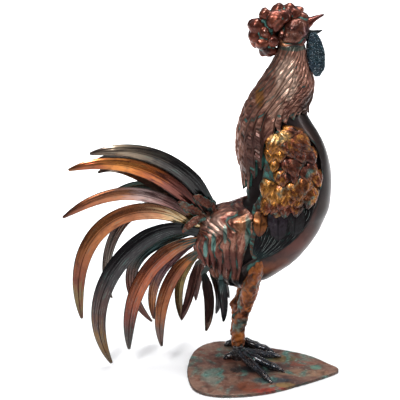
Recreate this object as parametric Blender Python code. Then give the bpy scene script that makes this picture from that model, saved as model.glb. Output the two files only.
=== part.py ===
"""Crowing rooster of formed and patinated sheet copper, standing on a leaf-shaped plate.

+X is the way the rooster faces, +Y is its left side, +Z is up, and Z = 0 is the plate's underside.
X = 0 is the middle of the plate's length and Y = 0 is the rooster's own middle plane.
The figure's form is given in modelled millimetres, six hundred to its height, and its sheets, plate
and fits in metres of their own.
"""

import math

import bmesh
import bpy
import numpy as np
from mathutils import Vector

# Driving sizes in metres
HEIGHT = 0.600
PLATE_LENGTH = 0.252
PLATE_WIDTH = 0.174
PLATE_THICKNESS = 0.005
PLATE_EDGE = 0.0012
FEATHER_SHEET = 0.0013
BREAST_SHEET = 0.004
WING_SHEET = 0.0045
SADDLE_SHEET = 0.0045
GAP = 0.0003

# One modelled millimetre of the figure, and how high its feet are lifted by the plate
UNIT = HEIGHT / 600
FIGURE_PLATE = 5.0
TAU = 2 * math.pi

# Facet counts
BODY_SIDES = 20
HEAD_SIDES = 12
ANKLE_SIDES = 8
BEAK_SIDES = 8
WATTLE_SIDES = 8
BREAST_COLUMNS = 9
SADDLE_ROWS = 5
NECK_LOCKS = 9
SADDLE_STRANDS = 7
WING_FEATHERS = 5
LEG_SIDES = 10
TOE_SIDES = 5
FEATHER_STEP = 47.0

# Plate outline as shares of half its length and half its width, tip forward
PLATE_CENTRE = (0.0, -0.050)
PLATE_OUTLINE = (
    (1.00, -0.10), (0.86, 0.16), (0.62, 0.46), (0.22, 0.70), (-0.20, 0.87), (-0.54, 1.00),
    (-0.78, 0.86), (-0.93, 0.55), (-1.00, 0.05), (-0.99, -0.42), (-0.90, -0.80), (-0.66, -0.98),
    (-0.34, -0.99), (0.04, -0.88), (0.44, -0.62), (0.80, -0.34),
)

# Forms by height: back, front, half width
BODY_ROWS = (
    (134, -40, -27, 5), (146, -62, -8, 24), (160, -80, 14, 36), (182, -93, 43, 46),
    (206, -104, 65, 51), (232, -103, 82, 53), (252, -97, 91, 53), (262, -84, 95, 53),
    (268, -62, 97, 53), (275, -40, 99, 52), (300, -31, 101, 51), (332, -32, 100, 49),
    (364, -39, 93, 46), (394, -41, 79, 43), (418, -36, 63, 39), (442, -24, 50, 28),
)
NECK_ROWS = (
    (300, -35, 107, 57), (335, -40, 105, 56), (372, -47, 94, 53), (400, -47, 80, 49),
    (420, -43, 67, 44), (437, -38, 63, 40), (456, -28, 68, 37), (475, -17, 70, 35),
    (495, -5, 65, 32), (513, 6, 58, 28), (529, 11, 55, 25), (537, 12, 53, 23),
)
HEAD_ROWS = (
    (537, 12.5, 53, 21), (546, 11, 57, 23.5), (556, 11.5, 60, 24), (566, 16, 60.5, 22),
    (575, 23, 59, 17.5), (581, 32, 57, 11), (584.5, 42, 51, 3.5),
)
REAR_TAPER = 0.06
BODY_SQUARE = 0.84

# Lower edge of the hackle by turn from the front in degrees
HACKLE_EDGE = ((0, 434), (50, 433), (76, 427), (100, 404), (122, 362), (150, 330), (180, 313))
HACKLE_SWEEP = 34.0
LOCK_POINT = 18.0
LOCK_DEPTH = 3.0
LOCK_ONSET = (0.25, 1.5)
HACKLE_SHARES = (0, 0.2, 0.45, 0.72, 1.0)
HACKLE_CORE = np.array([22.0, 0.0])
HACKLE_SHRINK = 0.6

# Edges of the wing in side view, from its top to its tip: height, place along X
WING_FRONT = (
    (414, 22), (408, 40), (394, 58), (372, 72), (350, 77), (328, 78), (300, 73), (278, 67),
    (260, 57), (236, 38), (214, 8), (201, -18),
)
WING_BACK = (
    (410, 8), (398, 0), (372, -5), (340, -8), (312, -10), (298, -15), (278, -23), (262, -26),
    (246, -27), (232, -27), (216, -26), (203, -22),
)
COVERT_ROWS = 5
COVERT_SHARE = 0.60
COVERT_BASE = 0.8
COVERT_DROP = 3.4
COVERT_CROWN = 2.2
COVERT_STEP = 0.008
PRIMARY_ROWS = ((0.612, 0.5), (0.72, 2.4), (0.82, 3.0), (0.91, 2.4), (1.0, 1.0))
PRIMARY_CROWN = 0.87
WING_ARCH = (0.35, 0.9)
WING_SINK = 12.0

# Rear edge of the breast plate: height, place along X
BREAST_EDGE = (
    (158, -14), (170, -32), (186, -38), (200, -26), (216, 8), (236, 36), (262, 57), (300, 74),
    (340, 81), (374, 75), (396, 60), (415, 32), (432, 12),
)
BREAST_RIM = 1.6
RIM_FROM = 0.985

# Legs by height: middle along X, depth along X, middle across, width across
LEG_ROWS = (
    (204, -10, 50, 27, 40), (186, -15, 46, 27, 38), (168, -19, 45, 27, 36), (150, -24, 40, 26, 33),
    (128, -27, 35, 25, 29), (104, -31, 28, 24, 24), (87, -34, 23, 23, 19), (70, -38, 21, 22, 18),
    (48, -41, 19, 21, 17), (31, -41, 20, 21, 18),
)
SPUR_HEIGHT = 86
SPUR_REACH = 9
SPUR_SPREAD = 9
THIGH_FLUTES = 5
FLUTE_DEPTH = 0.07
FLUTES_FROM = 90
FLUTES_FULL = 150

# Toe tips about each ankle, in plan
ANKLE = (-41, 21)
ANKLE_TOP = 30
ANKLE_RADIUS = 9.0
ANKLE_ROWS = ((-3, 11), (8, 12), (15, 11), (21, 9.5))
RIGHT_TOES = ((11, -104), (35, -69), (33, -19), (-66, -25))
LEFT_TOES = ((22, -3), (6, 12), (-14, 21), (-64, 20))
TOE_RADII = (7.6, 6.4, 6.9, 5.2, 5.0, 1.4)
TOE_SEAT = 0.72
TOE_RISE = 8.0
HIND_TOE = 0.85

# Comb lobes: along X, across, height, radius
COMB_MIDDLE = (
    (25, 0, 588.5, 11.5), (8, 0, 590, 10), (46, 0, 586, 9), (-5, 0, 579, 11), (-17, 0, 560, 13),
    (-19, 0, 541, 12.5), (-7, 0, 528, 11), (37, 0, 588, 9),
)
COMB_SIDES = ((9, 10, 572, 14), (0, 12, 553, 13), (-3, 10, 535, 12), (27, 9, 581, 11))
COMB_DETAIL = 0.22
LOBE_SQUASH = (1.0, 0.85, 1.0)

# Beak halves by place along X: height, half height, half width
UPPER_BEAK = (
    (54, 568.0, 8.0, 11.0), (60, 570.5, 7.6, 9.8), (66, 574.0, 6.4, 7.6), (72, 577.0, 4.8, 5.2),
    (78, 579.8, 3.0, 2.9), (82, 581.5, 0.9, 0.9),
)
LOWER_BEAK = (
    (54, 554.0, 6.0, 10.5), (60, 554.0, 5.6, 9.2), (67, 554.6, 4.6, 7.0), (74, 556.2, 3.2, 4.4),
    (80, 558.0, 0.9, 1.0),
)

# Eyes: share of the head's height, and how far ahead of its middle as a share of its half depth
EYE_RISE = 0.716
EYE_FORWARD = 0.26
EYE_RADIUS = 5.0
EYE_SQUASH = (1.0, 0.6, 1.0)
EYE_SINK = 1.0

# Wattles by height: rear edge, front edge, half thickness
WATTLE_ROWS = (
    (556, 60, 70, 2.4), (547, 58, 76, 3.2), (532, 57, 82, 3.8), (514, 58.5, 84.5, 4.0), (500, 62, 83, 3.4),
    (490, 70, 77, 1.2),
)
WATTLE_SPREAD = 8.5
WATTLE_TOE_OUT = 10.0

# Saddle: where each strand starts on the back and ends on the side, from the first strand to the last
SADDLE_START = (277, 214)
SADDLE_END = (166, 162)
SADDLE_TURNS = (98, 168)
SADDLE_FALL = 2.3
SADDLE_SPREAD = 1.45
STRAND_DEPTH = 3.0
STRAND_ONSET = 3.0
STRAND_POINT = 8.0

# Tail feathers from the top down, in side view: root along X and height, its heading, tip along X and
# height, its heading, how far the arc follows each heading as shares of the feather's reach, width.
# Headings are degrees from the front, upwards.
NEAR_FEATHERS = (
    ("upper_sickle", -86, 270, 115, -279, 367, 193, 0.40, 0.40, 26),
    ("long_upper_sickle", -104, 264, 127, -313, 342, 199, 0.50, 0.30, 24),
    ("middle_sickle", -111, 248, 137, -326, 264, 215, 0.40, 0.50, 22),
    ("great_sickle", -122, 245, 141, -302, 87, 279, 0.43, 0.71, 27),
    ("broad_sickle", -122, 237, 154, -255, 6, 298, 0.27, 0.56, 29),
    ("lower_sickle", -114, 221, 189, -224, 36, 273, 0.25, 0.55, 26),
    ("side_hanger", -112, 201, 212, -169, 45, 284, 0.40, 0.25, 21),
    ("small_hanger", -110, 184, 256, -136, 97, 250, 0.50, 0.50, 14),
    ("rump_hanger", -100, 168, 290, -96, 80, 254, 0.30, 0.40, 16),
    ("vent_hanger", -72, 158, 282, -68, 100, 262, 0.30, 0.40, 13),
)
FAR_FEATHERS = (
    ("upper_sickle", -98, 276, 131, -270, 349, 191, 0.25, 0.55, 20),
    ("long_upper_sickle", -111, 261, 144, -272, 323, 216, 0.55, 0.25, 19),
    ("middle_sickle", -112, 248, 140, -270, 268, 218, 0.55, 0.55, 19),
    ("great_sickle", -114, 239, 141, -258, 91, 292, 0.70, 0.40, 18),
    ("broad_sickle", -116, 222, 192, -190, 42, 310, 0.70, 0.40, 20),
    ("lower_sickle", -114, 202, 213, -187, 44, 279, 0.40, 0.40, 18),
    ("side_hanger", -108, 178, 222, -138, 38, 279, 0.40, 0.30, 15),
    ("small_hanger", -100, 168, 258, -113, 74, 270, 0.50, 0.30, 12),
    ("rump_hanger", -90, 160, 290, -77, 45, 259, 0.60, 0.30, 14),
    ("vent_hanger", -74, 154, 283, -54, 73, 284, 0.40, 0.40, 12),
)
# Small leaves over the tail's root
LEAVES = (
    ("upper_leaf", -85, 278, 160, -115, 297, 146, 0.33, 0.33, 14),
    ("middle_leaf", -106, 268, 160, -139, 288, 140, 0.33, 0.33, 14),
    ("lower_leaf", -104, 262, 206, -133, 239, 232, 0.33, 0.33, 13),
)
RUMP_CORE = (-62, 222)
BURIED_SHARE = 0.55
FEATHER_ROOTS = (3.2, 3.4)
FEATHER_TIPS = (15.0, 6.2)
LEAF_ROOTS = (10.0, 6.0)
LEAF_TIPS = (15.0, 6.0)
CREASE = 0.12
CREASE_FROM_ROOT = 3.0
CREASE_FROM_TIP = 6.0
CREASE_LEAST = 0.3
ROOT_WIDTH = (0.5, 2.2)
TIP_BLUNT = 1.03
TIP_POWER = 3
TIP_ROUND = 0.75
SPREAD_POWER = 1.2

COPPER = {
    "plate": ((0.23, 0.11, 0.07, 1), 0.45),
    "comb": ((0.26, 0.09, 0.05, 1), 0.35),
    "hackle": ((0.20, 0.09, 0.06, 1), 0.42),
    "breast": ((0.10, 0.06, 0.05, 1), 0.35),
    "wing": ((0.42, 0.17, 0.05, 1), 0.38),
    "saddle": ((0.40, 0.17, 0.11, 1), 0.38),
    "leg": ((0.36, 0.13, 0.04, 1), 0.45),
    "dark": ((0.03, 0.035, 0.045, 1), 0.40),
    "tail": ((0.34, 0.12, 0.05, 1), 0.36),
}


def collection(name, hidden=False):
    """New collection in the scene."""
    made = bpy.data.collections.new(name)
    made.hide_render = hidden
    bpy.context.scene.collection.children.link(made)
    return made


def material(name, finish):
    """Principled copper material of one node."""
    colour, roughness = COPPER[finish]
    made = bpy.data.materials.new(name)
    made.use_nodes = True
    shader = made.node_tree.nodes["Principled BSDF"]
    shader.inputs["Base Color"].default_value = colour
    shader.inputs["Metallic"].default_value = 0.9
    shader.inputs["Roughness"].default_value = roughness
    return made


def read_curve(rows, at):
    """Smooth curve through rows of a place and its values, read at one place or at many."""
    rows = np.array(sorted(rows), float)
    places, values = rows[:, 0], rows[:, 1:]
    slopes = np.gradient(values, places, axis=0)
    at = np.clip(np.asarray(at, float), places[0], places[-1])
    left = np.clip(np.searchsorted(places, at, side="right") - 1, 0, len(places) - 2)
    width = places[left + 1] - places[left]
    share = ((at - places[left]) / width)[..., None]
    width = width[..., None]
    first = (2 * share**3 - 3 * share**2 + 1) * values[left]
    first = first + (share**3 - 2 * share**2 + share) * width * slopes[left]
    last = (3 * share**2 - 2 * share**3) * values[left + 1]
    last = last + (share**3 - share**2) * width * slopes[left + 1]
    return first + last


class Form:
    """Level oval sections stacked along Z, in modelled millimetres."""

    def __init__(self, rows, taper=0.0, square=1.0):
        self.rows = rows
        self.taper = taper
        self.square = square
        self.low = rows[0][0]
        self.high = rows[-1][0]

    def section(self, height):
        """Middle, half depth and half width at a height."""
        back, front, half = np.moveaxis(read_curve(self.rows, height), -1, 0)
        return (back + front) / 2, (front - back) / 2, half

    def place(self, height, turn):
        """Point on the form at a turn in radians from the front towards the right side."""
        middle, depth, half = self.section(height)
        narrowed = 1 - self.taper * (1 - np.cos(turn)) / 2
        x = middle + depth * np.sign(np.cos(turn)) * np.abs(np.cos(turn)) ** self.square
        y = -half * narrowed * np.sign(np.sin(turn)) * np.abs(np.sin(turn)) ** self.square
        return np.stack(np.broadcast_arrays(x, y, height), axis=-1)

    def lifted(self, height, turn, lift):
        """Point that far out from the form's surface."""
        height, turn, lift = np.broadcast_arrays(height, turn, lift)
        step = 0.5
        up = self.place(np.minimum(height + step, self.high), turn)
        up = up - self.place(np.maximum(height - step, self.low), turn)
        along = self.place(height, turn + 0.01) - self.place(height, turn - 0.01)
        normal = np.cross(up, along)
        normal = normal / np.linalg.norm(normal, axis=-1, keepdims=True)
        return self.place(height, turn) + normal * lift[..., None]

    def turn_at(self, height, x):
        """Turn of the point of the right side at a place along X."""
        middle, depth, _ = self.section(height)
        share = np.clip((x - middle) / depth, -0.999, 0.999)
        return np.arccos(np.sign(share) * np.abs(share) ** (1 / self.square))

    def side(self, x, height):
        """Half width at a place in side view."""
        turn = self.turn_at(height, x)
        return -self.place(height, turn)[..., 1]


BODY = Form(BODY_ROWS, REAR_TAPER, BODY_SQUARE)
NECK = Form(NECK_ROWS)
HEAD = Form(HEAD_ROWS)


def new_object(name, mesh, finish):
    """Object of its own in the rooster's collection, with its material and smooth shading."""
    made = bpy.data.objects.new(name, mesh)
    ROOSTER.objects.link(made)
    mesh.materials.clear()
    mesh.materials.append(material(name, finish))
    mesh.shade_smooth()
    mesh.set_sharp_from_angle(angle=math.radians(38))
    return made


def ring_mesh(name, rings, scale=UNIT):
    """Closed mesh through rings of the same even number of points, each end closed by strips."""
    rings = np.asarray(rings, float) * scale
    count, sides = rings.shape[:2]
    faces = []
    for row in range(count - 1):
        for side in range(sides):
            after = (side + 1) % sides
            a, b = row * sides + side, row * sides + after
            faces.append((a, b, b + sides, a + sides))
    for start in (0, (count - 1) * sides):
        for side in range(sides // 2 - 1):
            far = sides - 1 - side
            strip = (start + side, start + side + 1, start + far - 1, start + far)
            faces.append(strip if start else strip[::-1])
    mesh = bpy.data.meshes.new(name)
    mesh.from_pydata(rings.reshape(-1, 3).tolist(), [], faces)
    return closed(mesh)


def closed(mesh):
    """The mesh welded where points meet, with its faces turned outwards."""
    shape = bmesh.new()
    shape.from_mesh(mesh)
    bmesh.ops.remove_doubles(shape, verts=shape.verts, dist=1e-6)
    bmesh.ops.triangulate(shape, faces=shape.faces, quad_method="SHORT_EDGE")
    bmesh.ops.recalc_face_normals(shape, faces=shape.faces)
    if shape.calc_volume(signed=True) < 0:
        bmesh.ops.reverse_faces(shape, faces=shape.faces)
    shape.to_mesh(mesh)
    shape.free()
    return mesh


def helper(name, mesh):
    """Hidden object that cuts or joins."""
    made = bpy.data.objects.new(name, mesh)
    made.display_type = "WIRE"
    made.hide_render = True
    CUTTERS.objects.link(made)
    return made


def grown(piece):
    """Hidden copy of a piece, larger by the gap all round."""
    shape = bmesh.new()
    shape.from_mesh(piece.data)
    shape.normal_update()
    moves = [vert.normal * GAP * min(vert.calc_shell_factor(), 2.0) for vert in shape.verts]
    for vert, move in zip(shape.verts, moves):
        vert.co += move
    mesh = bpy.data.meshes.new(piece.name + " grown")
    shape.to_mesh(mesh)
    shape.free()
    return helper(mesh.name, mesh)


def applied(piece):
    """Mesh of a hidden object with its modifiers applied, in place of the object."""
    graph = bpy.context.evaluated_depsgraph_get()
    made = bpy.data.meshes.new_from_object(piece.evaluated_get(graph))
    bpy.data.objects.remove(piece)
    return closed(made)


def combined(mesh, others, operation):
    """The mesh after a Boolean with each helper in turn."""
    base = helper(mesh.name + " base", mesh)
    for other in others:
        modifier = base.modifiers.new(operation, "BOOLEAN")
        modifier.operation = operation
        modifier.solver = "EXACT"
        modifier.object = other
    return applied(base)


def seated(name, mesh, finish, carriers):
    """Object cut so that it sits on its carriers with the gap between them."""
    return new_object(name, combined(mesh, [grown(piece) for piece in carriers], "DIFFERENCE"), finish)


def oval(middle_x, middle_y, height, half_x, half_y, sides):
    """Level ring of points, the first and the last on either side of the front."""
    turn = (np.arange(sides) + 0.5) * TAU / sides
    x = middle_x + half_x * np.cos(turn)
    y = middle_y + half_y * np.sin(turn)
    return np.stack([x, y, np.full(sides, float(height))], axis=1)


def base_plate():
    """Flat leaf with a softened upper edge."""
    rows = [(place, *point) for place, point in enumerate(PLATE_OUTLINE + PLATE_OUTLINE[:3])]
    places = np.linspace(1, len(PLATE_OUTLINE) + 1, 2 * len(PLATE_OUTLINE), endpoint=False)
    outline = read_curve(rows, places)
    mesh = bpy.data.meshes.new("base_plate")
    shape = bmesh.new()
    edge = min(PLATE_EDGE, PLATE_THICKNESS / 3)
    levels = ((0.0, 0.0), (PLATE_THICKNESS - edge, 0.0), (PLATE_THICKNESS, edge))
    layers = []
    for height, inset in levels:
        half = np.array([PLATE_LENGTH / 2 - inset, PLATE_WIDTH / 2 - inset])
        flat = np.array(PLATE_CENTRE) + outline * half
        layers.append([shape.verts.new((x, y, height)) for x, y in flat])
    shape.faces.new(layers[0][::-1])
    shape.faces.new(layers[-1])
    for lower, upper in zip(layers, layers[1:]):
        for i in range(len(lower)):
            shape.faces.new((lower[i - 1], lower[i], upper[i], upper[i - 1]))
    shape.to_mesh(mesh)
    shape.free()
    return new_object("base_plate", closed(mesh), "plate")


def body():
    """Breast, back, rump and belly up to the inside of the hackle."""
    turns = (np.arange(BODY_SIDES) + 0.5) * TAU / BODY_SIDES
    rings = [BODY.place(float(row[0]), turns) for row in BODY_ROWS]
    return new_object("body", ring_mesh("body", rings), "breast")


def leg(name, side, carriers):
    """Feathered thigh and shank down to the ankle, with its spur."""
    rings = []
    foot_lift = PLATE_THICKNESS / UNIT - FIGURE_PLATE
    for height, middle, depth, across, width in LEG_ROWS:
        ring = oval(middle, side * across, height, depth / 2, width / 2, LEG_SIDES)
        centre = ring.mean(axis=0)
        turns = np.arctan2(ring[:, 1] - centre[1], ring[:, 0] - centre[0])
        thigh = np.clip((height - FLUTES_FROM) / (FLUTES_FULL - FLUTES_FROM), 0, 1)
        flute = FLUTE_DEPTH * thigh * np.cos(THIGH_FLUTES * turns)
        ring[:, :2] += (ring[:, :2] - centre[:2]) * flute[:, None]
        behind = np.clip(-np.cos(turns), 0, 1) ** 4
        ring[:, 0] -= SPUR_REACH * behind * math.exp(-(((height - SPUR_HEIGHT) / SPUR_SPREAD) ** 2))
        rings.append(ring)
    rings[-1][:, 2] = ANKLE_TOP + foot_lift + GAP / UNIT
    return seated(name, ring_mesh(name, rings), "leg", carriers)


def toe(name, start, tip, hind=False):
    """Knuckled toe from the ankle to its claw, in plan from start to tip."""
    start, tip = np.array(start, float), np.array(tip, float)
    along = (tip - start) / np.linalg.norm(tip - start)
    across = np.array([-along[1], along[0]])
    floor = PLATE_THICKNESS / UNIT
    rings = []
    for share, radius in zip(np.linspace(0, 1, len(TOE_RADII)), TOE_RADII):
        radius = radius * (HIND_TOE if hind else 1.0)
        centre = start + (tip - start) * share
        lift = floor + radius * TOE_SEAT + TOE_RISE * (1 - share) ** 2
        turn = (np.arange(TOE_SIDES + 1) + 0.5) * TAU / (TOE_SIDES + 1)
        flat = centre + np.outer(np.cos(turn) * radius, across)
        rings.append(np.column_stack([flat, lift + radius * np.sin(turn)]))
    return ring_mesh(name, rings)


def foot(name, side, tips):
    """Ankle and four toes joined, flat where they meet the plate."""
    ankle = np.array([ANKLE[0], side * ANKLE[1]])
    floor = PLATE_THICKNESS / UNIT
    rows = (*ANKLE_ROWS, (ANKLE_TOP - FIGURE_PLATE, ANKLE_RADIUS))
    rings = [oval(*ankle, floor + height, radius, radius, ANKLE_SIDES) for height, radius in rows]
    toes = [toe(f"{name} toe {i}", ankle, tip, i == 3) for i, tip in enumerate(tips)]
    joined = combined(ring_mesh(name, rings), [helper(mesh.name, mesh) for mesh in toes], "UNION")
    cutter = bmesh.new()
    bmesh.ops.create_cube(cutter, size=1.0)
    size = Vector((PLATE_LENGTH * 2, PLATE_WIDTH * 2, 0.05))
    centre = Vector((0, 0, PLATE_THICKNESS + GAP - size.z / 2))
    for vert in cutter.verts:
        vert.co = vert.co * size + centre
    below = bpy.data.meshes.new(name + " below")
    cutter.to_mesh(below)
    cutter.free()
    return new_object(name, combined(joined, [helper(below.name, below)], "DIFFERENCE"), "dark")


def patch_rings(outer, inner):
    """Rings that run along each outer row and back along its inner row."""
    return np.concatenate([outer, inner[:, ::-1]], axis=1)


def breast_plate(carriers):
    """Smooth crescent around the front, with a raised rim beside each wing."""
    heights = np.array([row[0] for row in BREAST_EDGE], float)
    edge = BODY.turn_at(heights, np.array([row[1] for row in BREAST_EDGE]))
    shares = np.sin(np.linspace(-1, 1, BREAST_COLUMNS) * math.pi / 2)
    turns = edge[:, None] * shares[None, :]
    rim = BREAST_RIM * (np.abs(shares) > RIM_FROM)
    sheet = BREAST_SHEET / UNIT
    outer = BODY.lifted(heights[:, None], turns, sheet + rim[None, :])
    inner = BODY.lifted(heights[:, None], turns, -sheet)
    mesh = ring_mesh("breast_plate", patch_rings(outer, inner))
    return seated("breast_plate", mesh, "breast", carriers)


def wing_grid():
    """Places along the wing's length and breadth, with the relief at each."""
    columns = 2 * WING_FEATHERS + 1
    rows = []
    for row in range(COVERT_ROWS):
        start = COVERT_SHARE * row / COVERT_ROWS
        end = COVERT_SHARE * (row + 1) / COVERT_ROWS
        crown = [COVERT_CROWN * ((column + row) % 2) for column in range(columns)]
        rows.append((start + COVERT_STEP / 2, [COVERT_BASE + level for level in crown]))
        rows.append((end - COVERT_STEP / 2, [COVERT_DROP + level for level in crown]))
    for place, level in PRIMARY_ROWS:
        rows.append((place, [level * (1 + PRIMARY_CROWN * (column % 2)) for column in range(columns)]))
    return rows


def wing(name, side, carriers):
    """Folded wing: rows of scalloped coverts above long primaries."""
    rows = wing_grid()
    columns = len(rows[0][1])
    front = read_curve([(i / (len(WING_FRONT) - 1), *point) for i, point in enumerate(WING_FRONT)],
                       [place for place, _ in rows])
    back = read_curve([(i / (len(WING_BACK) - 1), *point) for i, point in enumerate(WING_BACK)],
                      [place for place, _ in rows])
    shares = np.linspace(0, 1, columns)[None, :, None]
    flat = back[:, None, :] + (front - back)[:, None, :] * shares
    height, x = flat[..., 0], flat[..., 1]
    arch = np.sin(np.linspace(0.08, 0.92, columns) * math.pi)[None, :]
    relief = np.array([levels for _, levels in rows]) + WING_SHEET / UNIT * (WING_ARCH[0] + WING_ARCH[1] * arch)
    inside = BODY.side(x, height) - WING_SINK
    outside = BODY.side(x, height) + relief
    outer = np.stack([x, side * outside, height], axis=-1)
    inner = np.stack([x, side * inside, height], axis=-1)
    return seated(name, ring_mesh(name, patch_rings(outer, inner)), "wing", carriers)


def hackle(carriers):
    """Cape of long locks around the neck, swept back to a ragged edge."""
    columns = 4 * NECK_LOCKS
    start = np.arange(columns) * TAU / columns
    folded = np.degrees(np.abs((start + math.pi) % TAU - math.pi))
    way = np.where(start < math.pi, 1.0, -1.0)
    ridge = np.arange(columns) % 2
    rings = []
    for share in HACKLE_SHARES:
        swept = folded + HACKLE_SWEEP * share**1.5 * np.sin(np.radians(folded))
        edge = read_curve(HACKLE_EDGE, swept)[..., 0] + LOCK_POINT * (0.5 - ridge)
        height = NECK.high + (edge - NECK.high) * share
        relief = LOCK_DEPTH * (ridge - 0.5) * min(1.0, LOCK_ONSET[0] + LOCK_ONSET[1] * share)
        rings.append(NECK.lifted(height, way * np.radians(swept), relief))
    inside = rings[-1].copy()
    inside[:, :2] = HACKLE_CORE + (inside[:, :2] - HACKLE_CORE) * HACKLE_SHRINK
    rings.append(inside)
    return seated("hackle", ring_mesh("hackle", rings), "hackle", carriers)


def saddle(carriers):
    """Cape of strands over the rump, hanging down both sides to a ragged edge."""
    columns = 2 * SADDLE_STRANDS + 1
    place = np.linspace(0, 1, columns)
    ridge = np.arange(columns) % 2
    start = SADDLE_START[0] + (SADDLE_START[1] - SADDLE_START[0]) * place
    end = SADDLE_END[0] + (SADDLE_END[1] - SADDLE_END[0]) * place - STRAND_POINT * (ridge - 0.5)
    last_turn = np.radians(SADDLE_TURNS[0] + (SADDLE_TURNS[1] - SADDLE_TURNS[0]) * place)
    shares = np.linspace(0, 1, SADDLE_ROWS)
    rows = []
    for share in np.concatenate([-shares[:0:-1], shares]):
        fallen = abs(share)
        height = start + (end - start) * fallen**SADDLE_FALL
        spread = (math.pi - last_turn) * math.sin(min(1.0, SADDLE_SPREAD * fallen) * math.pi / 2)
        relief = STRAND_DEPTH * (ridge - 0.5) * min(1.0, STRAND_ONSET * fallen)
        rows.append((height, math.pi - np.sign(share) * spread, relief))
    sheet = SADDLE_SHEET / UNIT
    outer = np.array([BODY.lifted(height, turn, sheet + relief) for height, turn, relief in rows])
    inner = np.array([BODY.lifted(height, turn, np.full(columns, -sheet)) for height, turn, _ in rows])
    return seated("saddle", ring_mesh("saddle", patch_rings(outer, inner)), "saddle", carriers)


def ball(name, centre, radius, squash):
    """Icosphere mesh in modelled millimetres."""
    shape = bmesh.new()
    bmesh.ops.create_icosphere(shape, subdivisions=2, radius=radius * UNIT)
    for vert in shape.verts:
        vert.co = Vector(share * value for share, value in zip(squash, vert.co)) + Vector(centre) * UNIT
    mesh = bpy.data.meshes.new(name)
    shape.to_mesh(mesh)
    shape.free()
    return mesh


def head():
    """Skull and cheeks with an eye on each side, flat where it meets the hackle."""
    turns = (np.arange(HEAD_SIDES) + 0.5) * TAU / HEAD_SIDES
    heights = [row[0] for row in HEAD_ROWS]
    rings = [HEAD.place(float(height), turns) for height in heights]
    rings[0][:, 2] += GAP / UNIT
    height = HEAD.low + (HEAD.high - HEAD.low) * EYE_RISE
    middle, depth, _ = HEAD.section(height)
    forward = middle + depth * EYE_FORWARD
    eyes = []
    for side in (-1, 1):
        across = side * (HEAD.side(forward, height) - EYE_SINK)
        eyes.append(helper("eye", ball("eye", (forward, across, height), EYE_RADIUS, EYE_SQUASH)))
    return new_object("head", combined(ring_mesh("head", rings), eyes, "UNION"), "comb")


def comb(carriers):
    """Lumpy rose comb fallen back over the nape."""
    lobes = list(COMB_MIDDLE)
    for x, across, height, radius in COMB_SIDES:
        lobes += [(x, -across, height, radius), (x, across, height, radius)]
    first, *rest = [ball("comb lobe", lobe[:3], lobe[3], LOBE_SQUASH) for lobe in lobes]
    joined = combined(first, [helper(mesh.name, mesh) for mesh in rest], "UNION")
    plain = helper("comb plain", joined)
    plain.modifiers.new("fewer faces", "DECIMATE").ratio = COMB_DETAIL
    return seated("comb", applied(plain), "comb", carriers)


def beak(name, rows, carriers):
    """Half of the open beak, pointed forward."""
    turn = (np.arange(BEAK_SIDES) + 0.5) * TAU / BEAK_SIDES
    rings = []
    for x, height, half_height, half_width in rows:
        ring = [np.full(BEAK_SIDES, float(x)), half_width * np.cos(turn), height + half_height * np.sin(turn)]
        rings.append(np.stack(ring, axis=1))
    return seated(name, ring_mesh(name, rings), "comb", carriers)


def wattle(name, side, carriers):
    """Thin leaf hanging under the beak."""
    rings = []
    for height, rear, front, thick in WATTLE_ROWS:
        ring = oval((rear + front) / 2, 0, height, (front - rear) / 2, thick, WATTLE_SIDES)
        outward = WATTLE_SPREAD + (WATTLE_ROWS[0][0] - height) * math.tan(math.radians(WATTLE_TOE_OUT)) / 2
        ring[:, 1] += side * outward
        rings.append(ring)
    return seated(name, ring_mesh(name, rings), "dark", carriers)


def centre_line(root, heading, tip, last_heading, pulls, places):
    """Points along the arc that leaves the root at one heading and reaches the tip at the other."""
    root, tip = np.array(root, float), np.array(tip, float)
    reach = np.linalg.norm(tip - root)
    first, last = (np.array([math.cos(a), math.sin(a)]) for a in np.radians([heading, last_heading]))
    t = places[:, None]
    near, far = root + first * reach * pulls[0], tip - last * reach * pulls[1]
    points = (1 - t) ** 3 * root + 3 * t * (1 - t) ** 2 * near
    return points + 3 * t**2 * (1 - t) * far + t**3 * tip


def feather(name, side, row, root_across, tip_across, carriers):
    """Long blade creased along its middle, running from inside the rump to its tip."""
    root_x, root_z, heading, tip_x, tip_z, last_heading, *pulls, width = row
    root, tip = (root_x, root_z), (tip_x, tip_z)
    places = np.linspace(0, 1, 3 + round(math.dist(root, tip) / FEATHER_STEP))
    points = centre_line(root, heading, tip, last_heading, pulls, places)
    buried = points[0] + BURIED_SHARE * (np.array(RUMP_CORE) - points[0])
    points = np.vstack([buried, points])
    places = np.concatenate([[0.0], places])
    ways = np.gradient(points, axis=0)
    ways = ways / np.linalg.norm(ways, axis=1, keepdims=True)
    half = width / 2 * np.minimum(1.0, ROOT_WIDTH[0] + ROOT_WIDTH[1] * places)
    half = half * (TIP_BLUNT - places**TIP_POWER) ** TIP_ROUND
    across = root_across + (tip_across - root_across) * places**SPREAD_POWER
    crease = CREASE * width * np.clip(CREASE_FROM_ROOT * places, 0, 1)
    crease = crease * np.clip(CREASE_FROM_TIP * (1 - places), CREASE_LEAST, 1)
    sheet = FEATHER_SHEET / UNIT
    rings = []
    for (x, z), (way_x, way_z), wide, out, fold in zip(points, ways, half, across, crease):
        wing_x, wing_z = -way_z * wide, way_x * wide
        upper = [(x + wing_x, side * out, z + wing_z), (x, side * (out + fold), z),
                 (x - wing_x, side * out, z - wing_z)]
        lower = [(px, py - side * sheet, pz) for px, py, pz in reversed(upper)]
        rings.append(upper + lower)
    return seated(name, ring_mesh(name, rings), "tail", carriers)


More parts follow.
